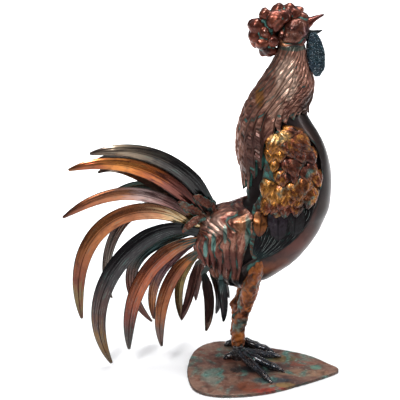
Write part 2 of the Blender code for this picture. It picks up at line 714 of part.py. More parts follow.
def tail(carriers):
    """Near and far layers of long feathers, each lying outside the one above it, and the leaves on them."""
    for layer, side, rows in (("right", -1, NEAR_FEATHERS), ("left", 1, FAR_FEATHERS)):
        for order, (name, *row) in enumerate(rows):
            root = FEATHER_ROOTS[0] + FEATHER_ROOTS[1] * order
            tip = FEATHER_TIPS[0] + FEATHER_TIPS[1] * order
            feather(f"{layer}_{name}", side, row, root, tip, carriers)
        for order, (name, *row) in enumerate(LEAVES):
            root = LEAF_ROOTS[0] + LEAF_ROOTS[1] * order
            tip = LEAF_TIPS[0] + LEAF_TIPS[1] * order
            feather(f"{layer}_{name}", side, row, root, tip, carriers)


def build():
    """Every piece, each one after those that carry it."""
    base_plate()
    foot("right_foot", -1, RIGHT_TOES)
    foot("left_foot", 1, LEFT_TOES)
    trunk = body()
    breast = breast_plate([trunk])
    wings = [wing("right_wing", -1, [trunk, breast]), wing("left_wing", 1, [trunk, breast])]
    cape = saddle([trunk, breast, *wings])
    for name, side in (("right_leg", -1), ("left_leg", 1)):
        leg(name, side, [trunk, breast, cape, *wings])
    hackle([trunk, breast, *wings])
    skull = head()
    crown = comb([skull])
    upper = beak("upper_beak", UPPER_BEAK, [skull, crown])
    lower = beak("lower_beak", LOWER_BEAK, [skull])
    wattle("right_wattle", -1, [skull, lower, upper])
    wattle("left_wattle", 1, [skull, lower, upper])
    tail([trunk, cape])


for leftover in list(bpy.data.objects):
    bpy.data.objects.remove(leftover)
ROOSTER = collection("copper rooster")
CUTTERS = collection("cutters", hidden=True)
build()
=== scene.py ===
"""Looks of a crowing rooster of formed and patinated sheet copper on a leaf-shaped plate.

Lengths of the figure are modelled millimetres, six hundred to its height, unless a name ends in _m.
"""

from __future__ import annotations

import logging
import math
from dataclasses import dataclass
from enum import Enum

import bmesh
import bpy
import numpy as np
from mathutils import Matrix, Vector


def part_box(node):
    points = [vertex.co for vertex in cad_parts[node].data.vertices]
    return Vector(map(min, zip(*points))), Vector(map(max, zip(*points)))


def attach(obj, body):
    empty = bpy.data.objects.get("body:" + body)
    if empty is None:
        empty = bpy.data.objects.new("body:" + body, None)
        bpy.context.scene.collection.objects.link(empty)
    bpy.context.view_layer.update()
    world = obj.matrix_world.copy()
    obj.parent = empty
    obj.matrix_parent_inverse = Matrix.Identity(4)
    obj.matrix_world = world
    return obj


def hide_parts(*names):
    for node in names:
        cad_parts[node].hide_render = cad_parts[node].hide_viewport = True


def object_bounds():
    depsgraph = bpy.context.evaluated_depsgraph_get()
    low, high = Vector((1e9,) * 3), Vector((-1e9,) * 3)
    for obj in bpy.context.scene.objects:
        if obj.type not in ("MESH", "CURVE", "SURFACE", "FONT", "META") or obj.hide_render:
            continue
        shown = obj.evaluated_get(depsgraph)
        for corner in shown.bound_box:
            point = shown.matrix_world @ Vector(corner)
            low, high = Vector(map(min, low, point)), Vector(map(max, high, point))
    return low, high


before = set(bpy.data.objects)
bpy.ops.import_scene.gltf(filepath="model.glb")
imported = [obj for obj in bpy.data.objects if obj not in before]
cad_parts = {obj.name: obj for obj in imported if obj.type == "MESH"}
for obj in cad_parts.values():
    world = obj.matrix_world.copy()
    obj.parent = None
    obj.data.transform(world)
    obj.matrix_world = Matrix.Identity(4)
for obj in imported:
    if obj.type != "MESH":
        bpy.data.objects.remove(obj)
CAD_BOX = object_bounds()
LOG = logging.getLogger("rooster")

TAU = 2 * math.pi
MODEL_HEIGHT = 600
UNIT = CAD_BOX[1].z / MODEL_HEIGHT
PLATE_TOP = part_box("base_plate")[1].z / UNIT
Rows = tuple[tuple[float, ...], ...]
Pair = tuple[float, float]
Triple = tuple[float, float, float]
Colour = tuple[float, float, float, float]
Tones = tuple[tuple[float, int, int, int], ...]


def shade(red: int, green: int, blue: int) -> Colour:
    """Linear colour of a screen colour.

    Args:
        red: Its red, from 0 to 255.
        green: Its green.
        blue: Its blue.

    Returns:
        The colour with its alpha.
    """
    parts = (value / 255 for value in (red, green, blue))
    linear = (part / 12.92 if part <= 0.04045 else ((part + 0.055) / 1.055) ** 2.4 for part in parts)
    return (*linear, 1.0)


class Wire:
    """A value in a node tree, with arithmetic that adds Math nodes."""

    def __init__(self, bench: Bench, socket: bpy.types.NodeSocket) -> None:
        """Keeps the socket with the bench of its tree."""
        self.bench = bench
        self.socket = socket

    def reckon(self, operation: str, *values: Wire | float) -> Wire:
        """Math node of that operation on the values."""
        return self.bench.add("ShaderNodeMath", {"operation": operation}, values)

    def __add__(self, other: Wire | float) -> Wire:
        """Sum."""
        return self.reckon("ADD", self, other)

    def __sub__(self, other: Wire | float) -> Wire:
        """Difference."""
        return self.reckon("SUBTRACT", self, other)

    def __rsub__(self, other: Wire | float) -> Wire:
        """Difference from a number."""
        return self.reckon("SUBTRACT", other, self)

    def __mul__(self, other: Wire | float) -> Wire:
        """Product."""
        return self.reckon("MULTIPLY", self, other)

    def __truediv__(self, other: Wire | float) -> Wire:
        """Quotient."""
        return self.reckon("DIVIDE", self, other)

    def __pow__(self, other: Wire | float) -> Wire:
        """Power."""
        return self.reckon("POWER", self, other)

    __radd__ = __add__
    __rmul__ = __mul__

    def size(self) -> Wire:
        """Value without its sign."""
        return self.reckon("ABSOLUTE", self)

    def least(self, other: Wire | float) -> Wire:
        """Smaller of the two values."""
        return self.reckon("MINIMUM", self, other)

    def most(self, other: Wire | float) -> Wire:
        """Larger of the two values."""
        return self.reckon("MAXIMUM", self, other)

    def wave(self) -> Wire:
        """Sine of the value."""
        return self.reckon("SINE", self)

    def eased(self, low: float, high: float) -> Wire:
        """Zero at low and one at high, with a soft start and end.

        Args:
            low: Value that gives zero; it may be the larger of the two.
            high: Value that gives one.

        Returns:
            The eased value.
        """
        settings = {"interpolation_type": "SMOOTHSTEP"}
        if low < high:
            return self.bench.add("ShaderNodeMapRange", settings, (self, low, high, 0.0, 1.0))
        return self.bench.add("ShaderNodeMapRange", settings, (self, high, low, 1.0, 0.0))


class Bench:
    """Adds nodes to one tree."""

    def __init__(self, tree: bpy.types.NodeTree) -> None:
        """Keeps the tree."""
        self.tree = tree

    def add(self, kind: str, settings: dict | None = None, inputs: dict | tuple = (),
            output: int | str = 0) -> Wire:
        """One node, with its settings made first.

        Args:
            kind: Blender's name of the node type.
            settings: Properties of the node; stops fills a colour ramp.
            inputs: Values or wires by socket name or in socket order, None to leave one alone.
            output: Socket that is read.

        Returns:
            The wire that leaves that output.
        """
        node = self.tree.nodes.new(kind)
        for name, value in (settings or {}).items():
            if name == "stops":
                self.fill(node.color_ramp, value)
            else:
                setattr(node, name, value)
        named = inputs.items() if isinstance(inputs, dict) else enumerate(inputs)
        for key, value in named:
            if isinstance(value, Wire):
                self.tree.links.new(value.socket, node.inputs[key])
            elif value is not None:
                node.inputs[key].default_value = value
        return Wire(self, node.outputs[output])

    def leave(self, kind: str, name: str, wire: Wire) -> None:
        """Leads a wire to the tree's output node."""
        self.tree.links.new(wire.socket, self.tree.nodes.new(kind).inputs[name])

    @staticmethod
    def fill(ramp: bpy.types.ColorRamp, stops: tuple[tuple[float, Colour], ...]) -> None:
        """Gives a colour ramp its stops.

        Args:
            ramp: The ramp, with its first two elements.
            stops: Places with their linear colours, in order.
        """
        ramp.elements[1].position = stops[-1][0]
        ramp.elements[1].color = stops[-1][1]
        ramp.elements[0].position = stops[0][0]
        ramp.elements[0].color = stops[0][1]
        for place, colour in stops[1:-1]:
            ramp.elements.new(place).color = colour

    def mix(self, share: Wire | float, first: Wire | Colour, second: Wire | Colour,
            blend: str = "MIX") -> Wire:
        """Colour between two colours, nearer the second as the share grows."""
        inputs = {0: share, 6: first, 7: second}
        return self.add("ShaderNodeMix", {"data_type": "RGBA", "blend_type": blend}, inputs, 2)

    def ramp(self, guide: Wire, tones: Tones) -> Wire:
        """Colour at the guide's value among tones of a place and a screen colour."""
        stops = tuple((place, shade(*screen)) for place, *screen in tones)
        return self.add("ShaderNodeValToRGB", {"stops": stops}, (guide,))

    def vector(self, operation: str, *values: Wire | tuple) -> Wire:
        """Vector Math node of that operation on the values."""
        output = "Value" if operation == "LENGTH" else "Vector"
        return self.add("ShaderNodeVectorMath", {"operation": operation}, values, output)

    def noise(self, place: Wire, per_metre: float, detail: float = 4.0, twist: float = 0.0) -> Wire:
        """Cloudy pattern from 0 to 1 with that many blots in a metre."""
        inputs = {"Vector": place, "Scale": per_metre, "Detail": detail, "Distortion": twist}
        return self.add("ShaderNodeTexNoise", {}, inputs)

    def stored(self, name: str) -> Wire:
        """Number that the piece's mesh stores under that name."""
        return self.add("ShaderNodeAttribute", {"attribute_name": name}, output="Fac")


class Reading(Enum):
    """What the ground colours of a finish follow."""

    CLOUDS = "clouds"
    LENGTH = "length"


@dataclass(frozen=True)
class Daub:
    """Patch of another colour about a point of the figure, in modelled millimetres."""

    centre: Triple
    reach: Triple
    colour: tuple[int, int, int]
    strength: float = 1.0
    rough_edge: float = 1.0
    fade: float = 0.4


VERDIGRIS: Tones = ((0.3, 24, 56, 56), (0.5, 58, 118, 108), (0.72, 118, 164, 154))
TEAL = shade(*VERDIGRIS[1][1:])
# Pale rubbed copper that also serves as a painted highlight on crests.
RUBBED_AND_HIGHLIGHT = shade(232, 206, 192)
SCRATCHED = shade(150, 160, 156)
# Pale pit fleck colour, partly a painted highlight.
PIT_FLECK_AND_HIGHLIGHT = shade(196, 214, 224)


@dataclass(frozen=True)
class Signs:
    """Patterns over a piece that the colour and the relief of its finish share."""

    seen: Wire
    along: Wire
    across: Wire
    clouds: Wire
    streak: Wire
    fine: Wire
    smoke: Wire
    painted_hollow_shade: Wire
    damp: Wire
    crest: Wire
    rib: Wire | None
    hole: Wire | None


@dataclass(frozen=True)
class Patina:
    """Copper with its tarnish: ground tones, verdigris and painted shade in the hollows, and pale crests that
    are partly rubbed copper and partly painted highlight.
    """

    name: str
    tones: Tones
    reading: Reading = Reading.CLOUDS
    grain: float = 32.0
    stretch: Triple = (1.0, 1.0, 1.0)
    verdigris: float = 0.8
    hollow: Pair = (0.40, 0.12)
    patches: float = 0.0
    flecks: float = 0.5
    soot: float = 0.5
    roughness: float = 0.34
    metallic: float = 0.85
    coat: float = 0.25
    speckle: float = 1.0
    tarnish: float = 0.45
    bump: float = 0.5
    pits: float = 0.0
    scratches: float = 0.0
    ribs: float = 0.0
    combed: bool = False
    gloss: float = 0.5
    daubs: tuple[Daub, ...] = ()

    def material(self) -> bpy.types.Material:
        """Material of this finish, made once.

        Returns:
            The material.
        """
        known = bpy.data.materials.get(self.name)
        if known:
            return known
        made = bpy.data.materials.new(self.name)
        made.use_nodes = True
        made.node_tree.nodes.clear()
        bench = Bench(made.node_tree)
        signs = self.read(bench)
        colour = self.colour(bench, signs)
        raised = {"Strength": self.bump, "Distance": 0.0012, "Height": self.bumps(bench, signs)}
        normal = bench.add("ShaderNodeBump", {}, raised, "Normal")
        rough = self.roughness + (signs.fine - 0.5) * 0.3 * self.speckle
        rough = rough + signs.damp * 0.3 - signs.crest * 0.1
        shine = (1 - signs.damp * 0.75) * self.metallic
        wax = (1 - signs.damp) * (1 - signs.painted_hollow_shade) * self.coat
        inputs = {"Base Color": colour, "Metallic": shine, "Roughness": rough, "Normal": normal,
                  "Coat Weight": wax, "Coat Roughness": 0.16, "Specular IOR Level": self.gloss}
        body = bench.add("ShaderNodeBsdfPrincipled", {}, inputs)
        bench.leave("ShaderNodeOutputMaterial", "Surface", body)
        return made

    def read(self, bench: Bench) -> Signs:
        """Patterns of this finish.

        Args:
            bench: Bench of the material's tree.

        Returns:
            The patterns, with no rib or hole where the finish has none.
        """
        seen = bench.add("ShaderNodeTexCoord", output="Object")
        place = bench.vector("MULTIPLY", seen, self.stretch)
        clouds = bench.noise(place, self.grain, 5.0, 0.4)
        relief, along, across = (bench.stored(name) for name in ("relief", "along", "across"))
        flow = bench.add("ShaderNodeCombineXYZ", {}, (along * 5, across * 2.2, self.grain))
        streak = bench.noise(flow, 1.6, 6.0, 0.3)
        fine = bench.noise(place, self.grain * 9, 4.0)
        if self.combed:
            fine = fine * 0.3 + streak * 0.7
        smoke = bench.noise(seen, self.grain * 2.3, 3.0, 0.8)
        # Painted shade: dark in the hollows that the stored relief marks, made a little uneven by the fine
        # noise.
        painted_hollow_shade = (relief + (fine - 0.5) * 0.4 * self.speckle).eased(0.58, 0.18) * 0.95
        damp = relief + (fine - 0.5) * 0.7 * self.speckle + (clouds - 0.5) * 0.4
        damp = damp.eased(*self.hollow) * self.verdigris
        if self.patches:
            spread = bench.noise(seen, self.grain * 1.5, 3.0, 0.6)
            damp = damp.most(spread.eased(0.64 - 0.14 * self.patches, 0.86 - 0.14 * self.patches) * 0.8)
        # Pale crest flecks: partly rubbed copper, partly painted highlight.
        crest = relief.eased(0.55, 0.95) * fine.eased(0.55, 0.72) * self.flecks
        rib = hole = None
        if self.ribs:
            rib = (across * self.ribs * math.pi + clouds * 3).wave() * along
        if self.pits:
            cells = bench.add("ShaderNodeTexVoronoi", {}, {"Vector": seen, "Scale": self.pits})
            hole = cells.eased(0.12, 0.42)
        return Signs(seen, along, across, clouds, streak, fine, smoke, painted_hollow_shade, damp, crest, rib, hole)

    def colour(self, bench: Bench, signs: Signs) -> Wire:
        """Colour of the finish.

        Args:
            bench: Bench of the material's tree.
            signs: Patterns of the finish.

        Returns:
            Ground with its patches, tarnish, soot, painted hollow shade, verdigris and worn places; the pale
            crests and pit flecks among these are partly painted highlight, and the dark between ribs is
            painted shade.
        """
        colour = self.ground(bench, signs)
        for daub in self.daubs:
            colour = self.daubed(bench, signs, colour, daub)
        colour = bench.mix(self.tarnish, colour, (0.02, 0.015, 0.015, 1))
        smoke = signs.smoke.eased(0.45, 0.75) * self.soot
        colour = bench.mix(smoke, colour, (0.25, 0.22, 0.22, 1), "MULTIPLY")
        # Painted shade multiplied into the hollows.
        colour = bench.mix(signs.painted_hollow_shade, colour, (0.06, 0.055, 0.055, 1), "MULTIPLY")
        colour = bench.mix(signs.damp, colour, bench.ramp(signs.fine, VERDIGRIS))
        # Pale rubbed copper and painted highlight on the crests.
        colour = bench.mix(signs.crest, colour, RUBBED_AND_HIGHLIGHT)
        if self.scratches:
            line = signs.across * self.scratches + signs.along * 3 + signs.clouds * 5
            worn = bench.noise(signs.seen, 60.0, 2.0).eased(0.42, 0.62)
            colour = bench.mix(line.wave().eased(0.95, 1.0) * worn * 0.7, colour, SCRATCHED)
        if signs.rib:
            # Painted shade in the grooves between the ribs.
            colour = bench.mix(signs.rib.eased(0.1, -0.9) * 0.6, colour, (0.16, 0.12, 0.11, 1), "MULTIPLY")
        if signs.hole:
            # Pale flecks in the pits, brightened to stand partly as a painted highlight.
            pit_flecks_and_highlights = (1 - signs.hole) * signs.fine.eased(0.42, 0.56) * 0.9
            colour = bench.mix(pit_flecks_and_highlights, colour, PIT_FLECK_AND_HIGHLIGHT)
        return colour

    def bumps(self, bench: Bench, signs: Signs) -> Wire:
        """Fine relief of the finish.

        Args:
            bench: Bench of the material's tree.
            signs: Patterns of the finish.

        Returns:
            Its height.
        """
        bumps = signs.fine * (0.5 * self.speckle) + bench.noise(signs.seen, 900.0, 2.0) * (0.2 * self.speckle)
        bumps = bumps + signs.smoke * 0.5
        if signs.rib:
            bumps = bumps + signs.rib * 0.8
        if signs.hole:
            bumps = bumps + signs.hole * 1.4
        return bumps

    def ground(self, bench: Bench, signs: Signs) -> Wire:
        """Ground colour by clouds, or along the piece's length with streaks.

        Args:
            bench: Bench of the material's tree.
            signs: Patterns of the finish.

        Returns:
            The colour before any patch or tarnish.
        """
        clouds, streak = signs.clouds, signs.streak
        if self.reading is Reading.CLOUDS:
            guide = clouds.eased(0.28, 0.72)
            if self.combed:
                guide = guide * 0.55 + streak.eased(0.34, 0.66) * 0.45
            return bench.ramp(guide, self.tones)
        guide = signs.along + (clouds - 0.5) * 0.25 + (streak - 0.5) * 0.5
        ground = bench.ramp(guide, self.tones)
        ground = bench.mix(streak.eased(0.52, 0.36) * 0.75, ground, (0.3, 0.24, 0.24, 1), "MULTIPLY")
        return bench.mix(streak.eased(0.60, 0.72) * self.verdigris, ground, TEAL)

    def daubed(self, bench: Bench, signs: Signs, colour: Wire, daub: Daub) -> Wire:
        """The colour with a patch laid over it, ragged at its edge.

        Args:
            bench: Bench of the material's tree.
            signs: Patterns of the finish.
            colour: Colour under the patch.
            daub: The patch.

        Returns:
            The colour with the patch.
        """
        centre = tuple(value * UNIT for value in daub.centre)
        scale = tuple(1 / (value * UNIT) for value in daub.reach)
        offset = bench.vector("MULTIPLY", bench.vector("SUBTRACT", signs.seen, centre), scale)
        near = 1 - bench.vector("LENGTH", offset)
        ragged = near + ((signs.clouds - 0.5) * 1.2 + (signs.fine - 0.5) * 0.5) * daub.rough_edge
        return bench.mix(ragged.eased(0.0, daub.fade) * daub.strength, colour, shade(*daub.colour))


def around(count: int) -> np.ndarray:
    """Turns in radians of that many places around a ring, as one row."""
    return ((np.arange(count) + 0.5) * TAU / count)[None, :]


def stacked(*values: np.ndarray) -> np.ndarray:
    """Points from coordinates of shapes that fit one another."""
    return np.stack(np.broadcast_arrays(*values), axis=-1)


def read_curve(rows: Rows, at: np.ndarray | float) -> np.ndarray:
    """Smooth curve through rows of a place and its values.

    Args:
        rows: A place and its values in each row, in any order.
        at: Places at which it is read.

    Returns:
        The values, along the last axis.
    """
    table = np.array(sorted(rows), float)
    places, values = table[:, 0], table[:, 1:]
    slopes = np.gradient(values, places, axis=0)
    at = np.clip(np.asarray(at, float), places[0], places[-1])
    left = np.clip(np.searchsorted(places, at, side="right") - 1, 0, len(places) - 2)
    width = places[left + 1] - places[left]
    share = ((at - places[left]) / width)[..., None]
    width = width[..., None]
    first = (2 * share**3 - 3 * share**2 + 1) * values[left]
    first = first + (share**3 - 2 * share**2 + share) * width * slopes[left]
    last = (3 * share**2 - 2 * share**3) * values[left + 1]
    last = last + (share**3 - share**2) * width * slopes[left + 1]
    return first + last


def spaced(rows: Rows, at: np.ndarray) -> np.ndarray:
    """Values of evenly placed rows, read at shares of the way from the first row to the last."""
    last = len(rows) - 1
    return read_curve(tuple((i / last, *row) for i, row in enumerate(rows)), at)


def eased(value: np.ndarray, low: float, high: float) -> np.ndarray:
    """Zero at low and one at high, with a soft start and end."""
    share = np.clip((value - low) / (high - low), 0, 1)
    return share * share * (3 - 2 * share)


def ripple(points: np.ndarray, size: float, seed: int, layers: int = 6) -> np.ndarray:
    """Smooth uneven waves between about -1 and 1.

    Args:
        points: Points over which they run.
        size: Distance between crests.
        seed: Choice of the waves.
        layers: Number of waves that are added up.

    Returns:
        Their height at each point.
    """
    chance = np.random.default_rng(seed)
    total = np.zeros(points.shape[:-1])
    for layer in range(layers):
        way = chance.normal(size=points.shape[-1])
        way = way / np.linalg.norm(way) * TAU / size * (0.7 + 0.25 * layer)
        total += np.sin(points @ way + chance.uniform(0, TAU) + 1.3 * np.sin(points @ way[::-1] * 0.6))
    return total / layers * 1.7


class Form:
    """Level oval sections stacked along Z, in modelled millimetres."""

    def __init__(self, rows: Rows, taper: float = 0.0, square: float = 1.0) -> None:
        """Keeps the sections.

        Args:
            rows: A height, its back and front along X, and its half width in each row.
            taper: Share of the width that the back loses.
            square: Power of the oval, below one for squarer sections.
        """
        self.rows = rows
        self.taper = taper
        self.square = square
        self.low = rows[0][0]
        self.high = rows[-1][0]

    def section(self, height: np.ndarray) -> tuple[np.ndarray, np.ndarray, np.ndarray]:
        """Middle, half depth and half width at a height."""
        back, front, half = np.moveaxis(read_curve(self.rows, height), -1, 0)
        return (back + front) / 2, (front - back) / 2, half

    def place(self, height: np.ndarray, turn: np.ndarray) -> np.ndarray:
        """Point on the form.

        Args:
            height: Height of the section.
            turn: Radians from the front towards the right side.

        Returns:
            The points.
        """
        middle, depth, half = self.section(height)
        narrowed = 1 - self.taper * (1 - np.cos(turn)) / 2
        x = middle + depth * np.sign(np.cos(turn)) * np.abs(np.cos(turn)) ** self.square
        y = -half * narrowed * np.sign(np.sin(turn)) * np.abs(np.sin(turn)) ** self.square
        return stacked(x, y, height)

    def lifted(self, height: np.ndarray, turn: np.ndarray, lift: np.ndarray) -> np.ndarray:
        """Point off the form's surface.

        Args:
            height: Height of the section.
            turn: Radians from the front towards the right side.
            lift: Distance outwards.

        Returns:
            The points.
        """
        height, turn, lift = np.broadcast_arrays(height, turn, lift)
        up = self.place(np.minimum(height + 0.5, self.high), turn)
        up = up - self.place(np.maximum(height - 0.5, self.low), turn)
        along = self.place(height, turn + 0.01) - self.place(height, turn - 0.01)
        normal = np.cross(up, along)
        normal = normal / np.maximum(np.linalg.norm(normal, axis=-1, keepdims=True), 1e-9)
        return self.place(height, turn) + normal * lift[..., None]

    def turn_at(self, height: np.ndarray, x: np.ndarray) -> np.ndarray:
        """Turn of a point of the right side.

        Args:
            height: Height of the section.
            x: Place along X.

        Returns:
            Radians from the front.
        """
        middle, depth, _ = self.section(height)
        share = np.clip((x - middle) / depth, -0.999, 0.999)
        return np.arccos(np.sign(share) * np.abs(share) ** (1 / self.square))

    def side(self, x: np.ndarray, height: np.ndarray) -> np.ndarray:
        """Half width at a place in side view."""
        return -self.place(height, self.turn_at(height, x))[..., 1]


BODY = Form(
    (
        (134, -40, -27, 5), (146, -62, -8, 24), (160, -80, 14, 36), (182, -93, 43, 46),
        (206, -104, 65, 51), (232, -103, 82, 53), (252, -97, 91, 53), (262, -84, 95, 53),
        (268, -62, 97, 53), (275, -40, 99, 52), (300, -31, 101, 51), (332, -32, 100, 49),
        (364, -39, 93, 46), (394, -41, 79, 43), (418, -36, 63, 39), (442, -24, 50, 28),
    ),
    taper=0.06,
    square=0.84,
)
NECK = Form(
    (
        (300, -35, 107, 57), (335, -40, 105, 56), (372, -47, 94, 53), (400, -47, 80, 49),
        (420, -43, 67, 44), (437, -38, 63, 40), (456, -28, 68, 37), (475, -17, 70, 35),
        (495, -5, 65, 32), (513, 6, 58, 28), (529, 11, 55, 25), (537, 12, 53, 23),
    )
)
HEAD = Form(
    (
        (530, 11.5, 54, 22.5), (537, 12.5, 53, 21), (546, 11, 57, 23.5), (556, 11.5, 60, 24),
        (566, 16, 60.5, 22), (575, 23, 59, 17.5), (581, 32, 57, 11), (584.5, 42, 51, 3.5),
    )
)


class Cap(Enum):
    """How the ends of a loft are closed."""

    FAN = "fan"
    STRIP = "strip"


def loft(name: str, rings: np.ndarray, relief: np.ndarray | float = 0.6, along: np.ndarray | float = 0.5,
         across: np.ndarray | float = 0.0, cap: Cap = Cap.FAN) -> bpy.types.Mesh:
    """Closed mesh through rings of the same even number of points.

    Args:
        name: Name of the mesh.
        rings: Points by ring and by place around it, in modelled millimetres.
        relief: Height in the surface's relief, 0 in a hollow and 1 on a crest.
        along: Share of the way along the piece.
        across: Place across the piece, from -1 to 1.
        cap: A fan to a middle point, or strips for rings that run out and back.

    Returns:
        The mesh, facing outwards.
    """
    rings = np.asarray(rings, float)
    count, sides = rings.shape[:2]
    points = rings.reshape(-1, 3)
    row, side = np.meshgrid(np.arange(count - 1), np.arange(sides), indexing="ij")
    after = (side + 1) % sides
    quads = np.stack([row * sides + side, row * sides + after, (row + 1) * sides + after,
                      (row + 1) * sides + side], axis=-1).reshape(-1, 4).tolist()
    fields = {"relief": relief, "along": along, "across": across}
    stored = {key: np.broadcast_to(value, (count, sides)).reshape(-1) for key, value in fields.items()}
    last = (count - 1) * sides
    if cap is Cap.STRIP:
        for start in (0, last):
            for step in range(sides // 2 - 1):
                strip = [start + step, start + step + 1, start + sides - 2 - step, start + sides - 1 - step]
                quads.append(strip if start else strip[::-1])
    else:
        for start in (0, last):
            hub = len(points)
            points = np.vstack([points, rings[-1 if start else 0].mean(axis=0)])
            stored = {key: np.append(value, value[start]) for key, value in stored.items()}
            for step in range(sides):
                fan = [start + step, start + (step + 1) % sides, hub]
                quads.append(fan if start else fan[::-1])
    mesh = bpy.data.meshes.new(name)
    mesh.from_pydata((points * UNIT).tolist(), [], quads)
    for key, value in stored.items():
        mesh.attributes.new(key, "FLOAT", "POINT").data.foreach_set("value", value.astype(np.float32))
    return outward(mesh)


def outward(mesh: bpy.types.Mesh) -> bpy.types.Mesh:
    """Turns the faces of a mesh outwards and shades them smooth.

    Args:
        mesh: Closed mesh.

    Returns:
        The same mesh.
    """
    shape = bmesh.new()
    shape.from_mesh(mesh)
    bmesh.ops.recalc_face_normals(shape, faces=shape.faces)
    if shape.calc_volume(signed=True) < 0:
        bmesh.ops.reverse_faces(shape, faces=shape.faces)
    shape.to_mesh(mesh)
    shape.free()
    mesh.shade_smooth()
    return mesh


def shell(name: str, outer: np.ndarray, inner: np.ndarray, relief: np.ndarray,
          along: np.ndarray | float = 0.5, across: np.ndarray | float = 0.0) -> bpy.types.Mesh:
    """Closed sheet between two grids of points.

    Args:
        name: Name of the mesh.
        outer: Points of its outside.
        inner: Points of its inside, in the same order.
        relief: Height in the surface's relief.
        along: Share of the way along the piece.
        across: Place across the piece.

    Returns:
        The mesh.
    """
    shape = outer.shape[:2]
    both = [np.broadcast_to(value, shape) for value in (relief, along, across)]
    doubled = [np.concatenate([value, value[:, ::-1]], axis=1) for value in both]
    return loft(name, np.concatenate([outer, inner[:, ::-1]], axis=1), *doubled, cap=Cap.STRIP)


def plain_mesh(piece: bpy.types.Object, name: str) -> bpy.types.Mesh:
    """Mesh of an object with its modifiers applied.

    Args:
        piece: The object, which is removed.
        name: Name of the mesh.

    Returns:
        The mesh.
    """
    graph = bpy.context.evaluated_depsgraph_get()
    made = bpy.data.meshes.new_from_object(piece.evaluated_get(graph))
    made.name = name
    bpy.data.objects.remove(piece)
    return made


def loose(name: str, data: bpy.types.ID | None) -> bpy.types.Object:
    """Object in the scene that is not yet a piece.

    Args:
        name: Name of the object.
        data: Its mesh, curve, lamp or camera.

    Returns:
        The object.
    """
    made = bpy.data.objects.new(name, data)
    bpy.context.scene.collection.objects.link(made)
    return made


def place_piece(mesh: bpy.types.Mesh, finish: Patina, slot: str, *nodes: str) -> bpy.types.Object:
    """Piece that rides on the statue.

    Args:
        mesh: Its mesh, which names it.
        finish: Its finish.
        slot: Slot of its material; not used.
        nodes: Solids that it stands for.

    Returns:
        The piece.
    """
    piece = loose(mesh.name, mesh)
    mesh.materials.clear()
    mesh.materials.append(finish.material())
    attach(piece, "root")
    if nodes:
        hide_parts(*nodes)
    LOG.info("%s: %d faces in %s", mesh.name, len(mesh.polygons), finish.name)
    return piece


def fused(name: str, meshes: list[bpy.types.Mesh], voxel: float, smoothing: int, swell: float,
          size: float, seed: int) -> bpy.types.Mesh:
    """Lumps run into one skin, smoothed and a little uneven, with their hollows stored as relief.

    Args:
        name: Name of the mesh.
        meshes: Closed shapes that touch one another.
        voxel: Size of the skin's cells in modelled millimetres.
        smoothing: Number of smoothing steps.
        swell: Height of the unevenness.
        size: Distance between its crests.
        seed: Choice of the unevenness.

    Returns:
        The fused mesh.
    """
    shape = bmesh.new()
    for mesh in meshes:
        shape.from_mesh(mesh)
    joined = bpy.data.meshes.new(name + " raw")
    shape.to_mesh(joined)
    shape.free()
    raw = loose(name + " raw", joined)
    remesh = raw.modifiers.new("skin", "REMESH")
    remesh.mode = "VOXEL"
    remesh.voxel_size = voxel * UNIT
    soften = raw.modifiers.new("soften", "SMOOTH")
    soften.iterations = smoothing
    made = plain_mesh(raw, name)
    points, normals, neighbours = surface(made)
    points = points + normals * (ripple(points, size * UNIT, seed) * swell * UNIT)[:, None]
    made.vertices.foreach_set("co", points.astype(np.float32).ravel())
    made.update()
    hollows(made, voxel * UNIT, neighbours)
    return outward(made)


def surface(mesh: bpy.types.Mesh) -> tuple[np.ndarray, np.ndarray, np.ndarray]:
    """Shape of a mesh as arrays.

    Args:
        mesh: Any mesh.

    Returns:
        Its points, their normals, and its edges as pairs of points.
    """
    points, normals = (np.empty(len(mesh.vertices) * 3, np.float32) for _ in range(2))
    mesh.vertices.foreach_get("co", points)
    mesh.vertices.foreach_get("normal", normals)
    edges = np.empty(len(mesh.edges) * 2, np.int32)
    mesh.edges.foreach_get("vertices", edges)
    return points.reshape(-1, 3).astype(float), normals.reshape(-1, 3).astype(float), edges.reshape(-1, 2)


def hollows(mesh: bpy.types.Mesh, cell_m: float, edges: np.ndarray, spread: int = 6) -> None:
    """Stores how far each point stands out from its surroundings as relief.

    Args:
        mesh: Even mesh.
        cell_m: Size of its faces in metres.
        edges: Its edges as pairs of points.
        spread: Number of steps to the edge of the surroundings.
    """
    points, normals, _ = surface(mesh)
    count = np.bincount(edges.ravel(), minlength=len(points)).astype(float)
    level = points
    for _ in range(spread):
        total = np.zeros_like(level)
        np.add.at(total, edges[:, 0], level[edges[:, 1]])
        np.add.at(total, edges[:, 1], level[edges[:, 0]])
        level = total / np.maximum(count, 1)[:, None]
    proud = ((points - level) * normals).sum(axis=1) / cell_m
    relief = np.clip(0.55 + proud * 1.1, 0, 1)
    stored = mesh.attributes.get("relief") or mesh.attributes.new("relief", "FLOAT", "POINT")
    stored.data.foreach_set("value", relief.astype(np.float32))


def ball(centre: Triple, radius: float, squash: Triple) -> bpy.types.Mesh:
    """Round lump in modelled millimetres.

    Args:
        centre: Its middle.
        radius: Its radius before it is squashed.
        squash: Factors along the axes.

    Returns:
        Its mesh.
    """
    shape = bmesh.new()
    bmesh.ops.create_icosphere(shape, subdivisions=3, radius=radius * UNIT)
    for vert in shape.verts:
        vert.co = Vector(share * value for share, value in zip(squash, vert.co)) + Vector(centre) * UNIT
    mesh = bpy.data.meshes.new("lump")
    shape.to_mesh(mesh)
    shape.free()
    return mesh


def inputs_of(tree: bpy.types.NodeTree, kinds: dict[str, str]) -> dict[str, str]:
    """Adds named inputs to a geometry tree.

    Args:
        tree: The tree.
        kinds: Kind of socket by name.

    Returns:
        The identifier of each input by name.
    """
    tree.interface.new_socket(name="Geometry", in_out="OUTPUT", socket_type="NodeSocketGeometry")
    made = {}
    for name, kind in kinds.items():
        made[name] = tree.interface.new_socket(name=name, in_out="INPUT", socket_type=kind).identifier
    return made


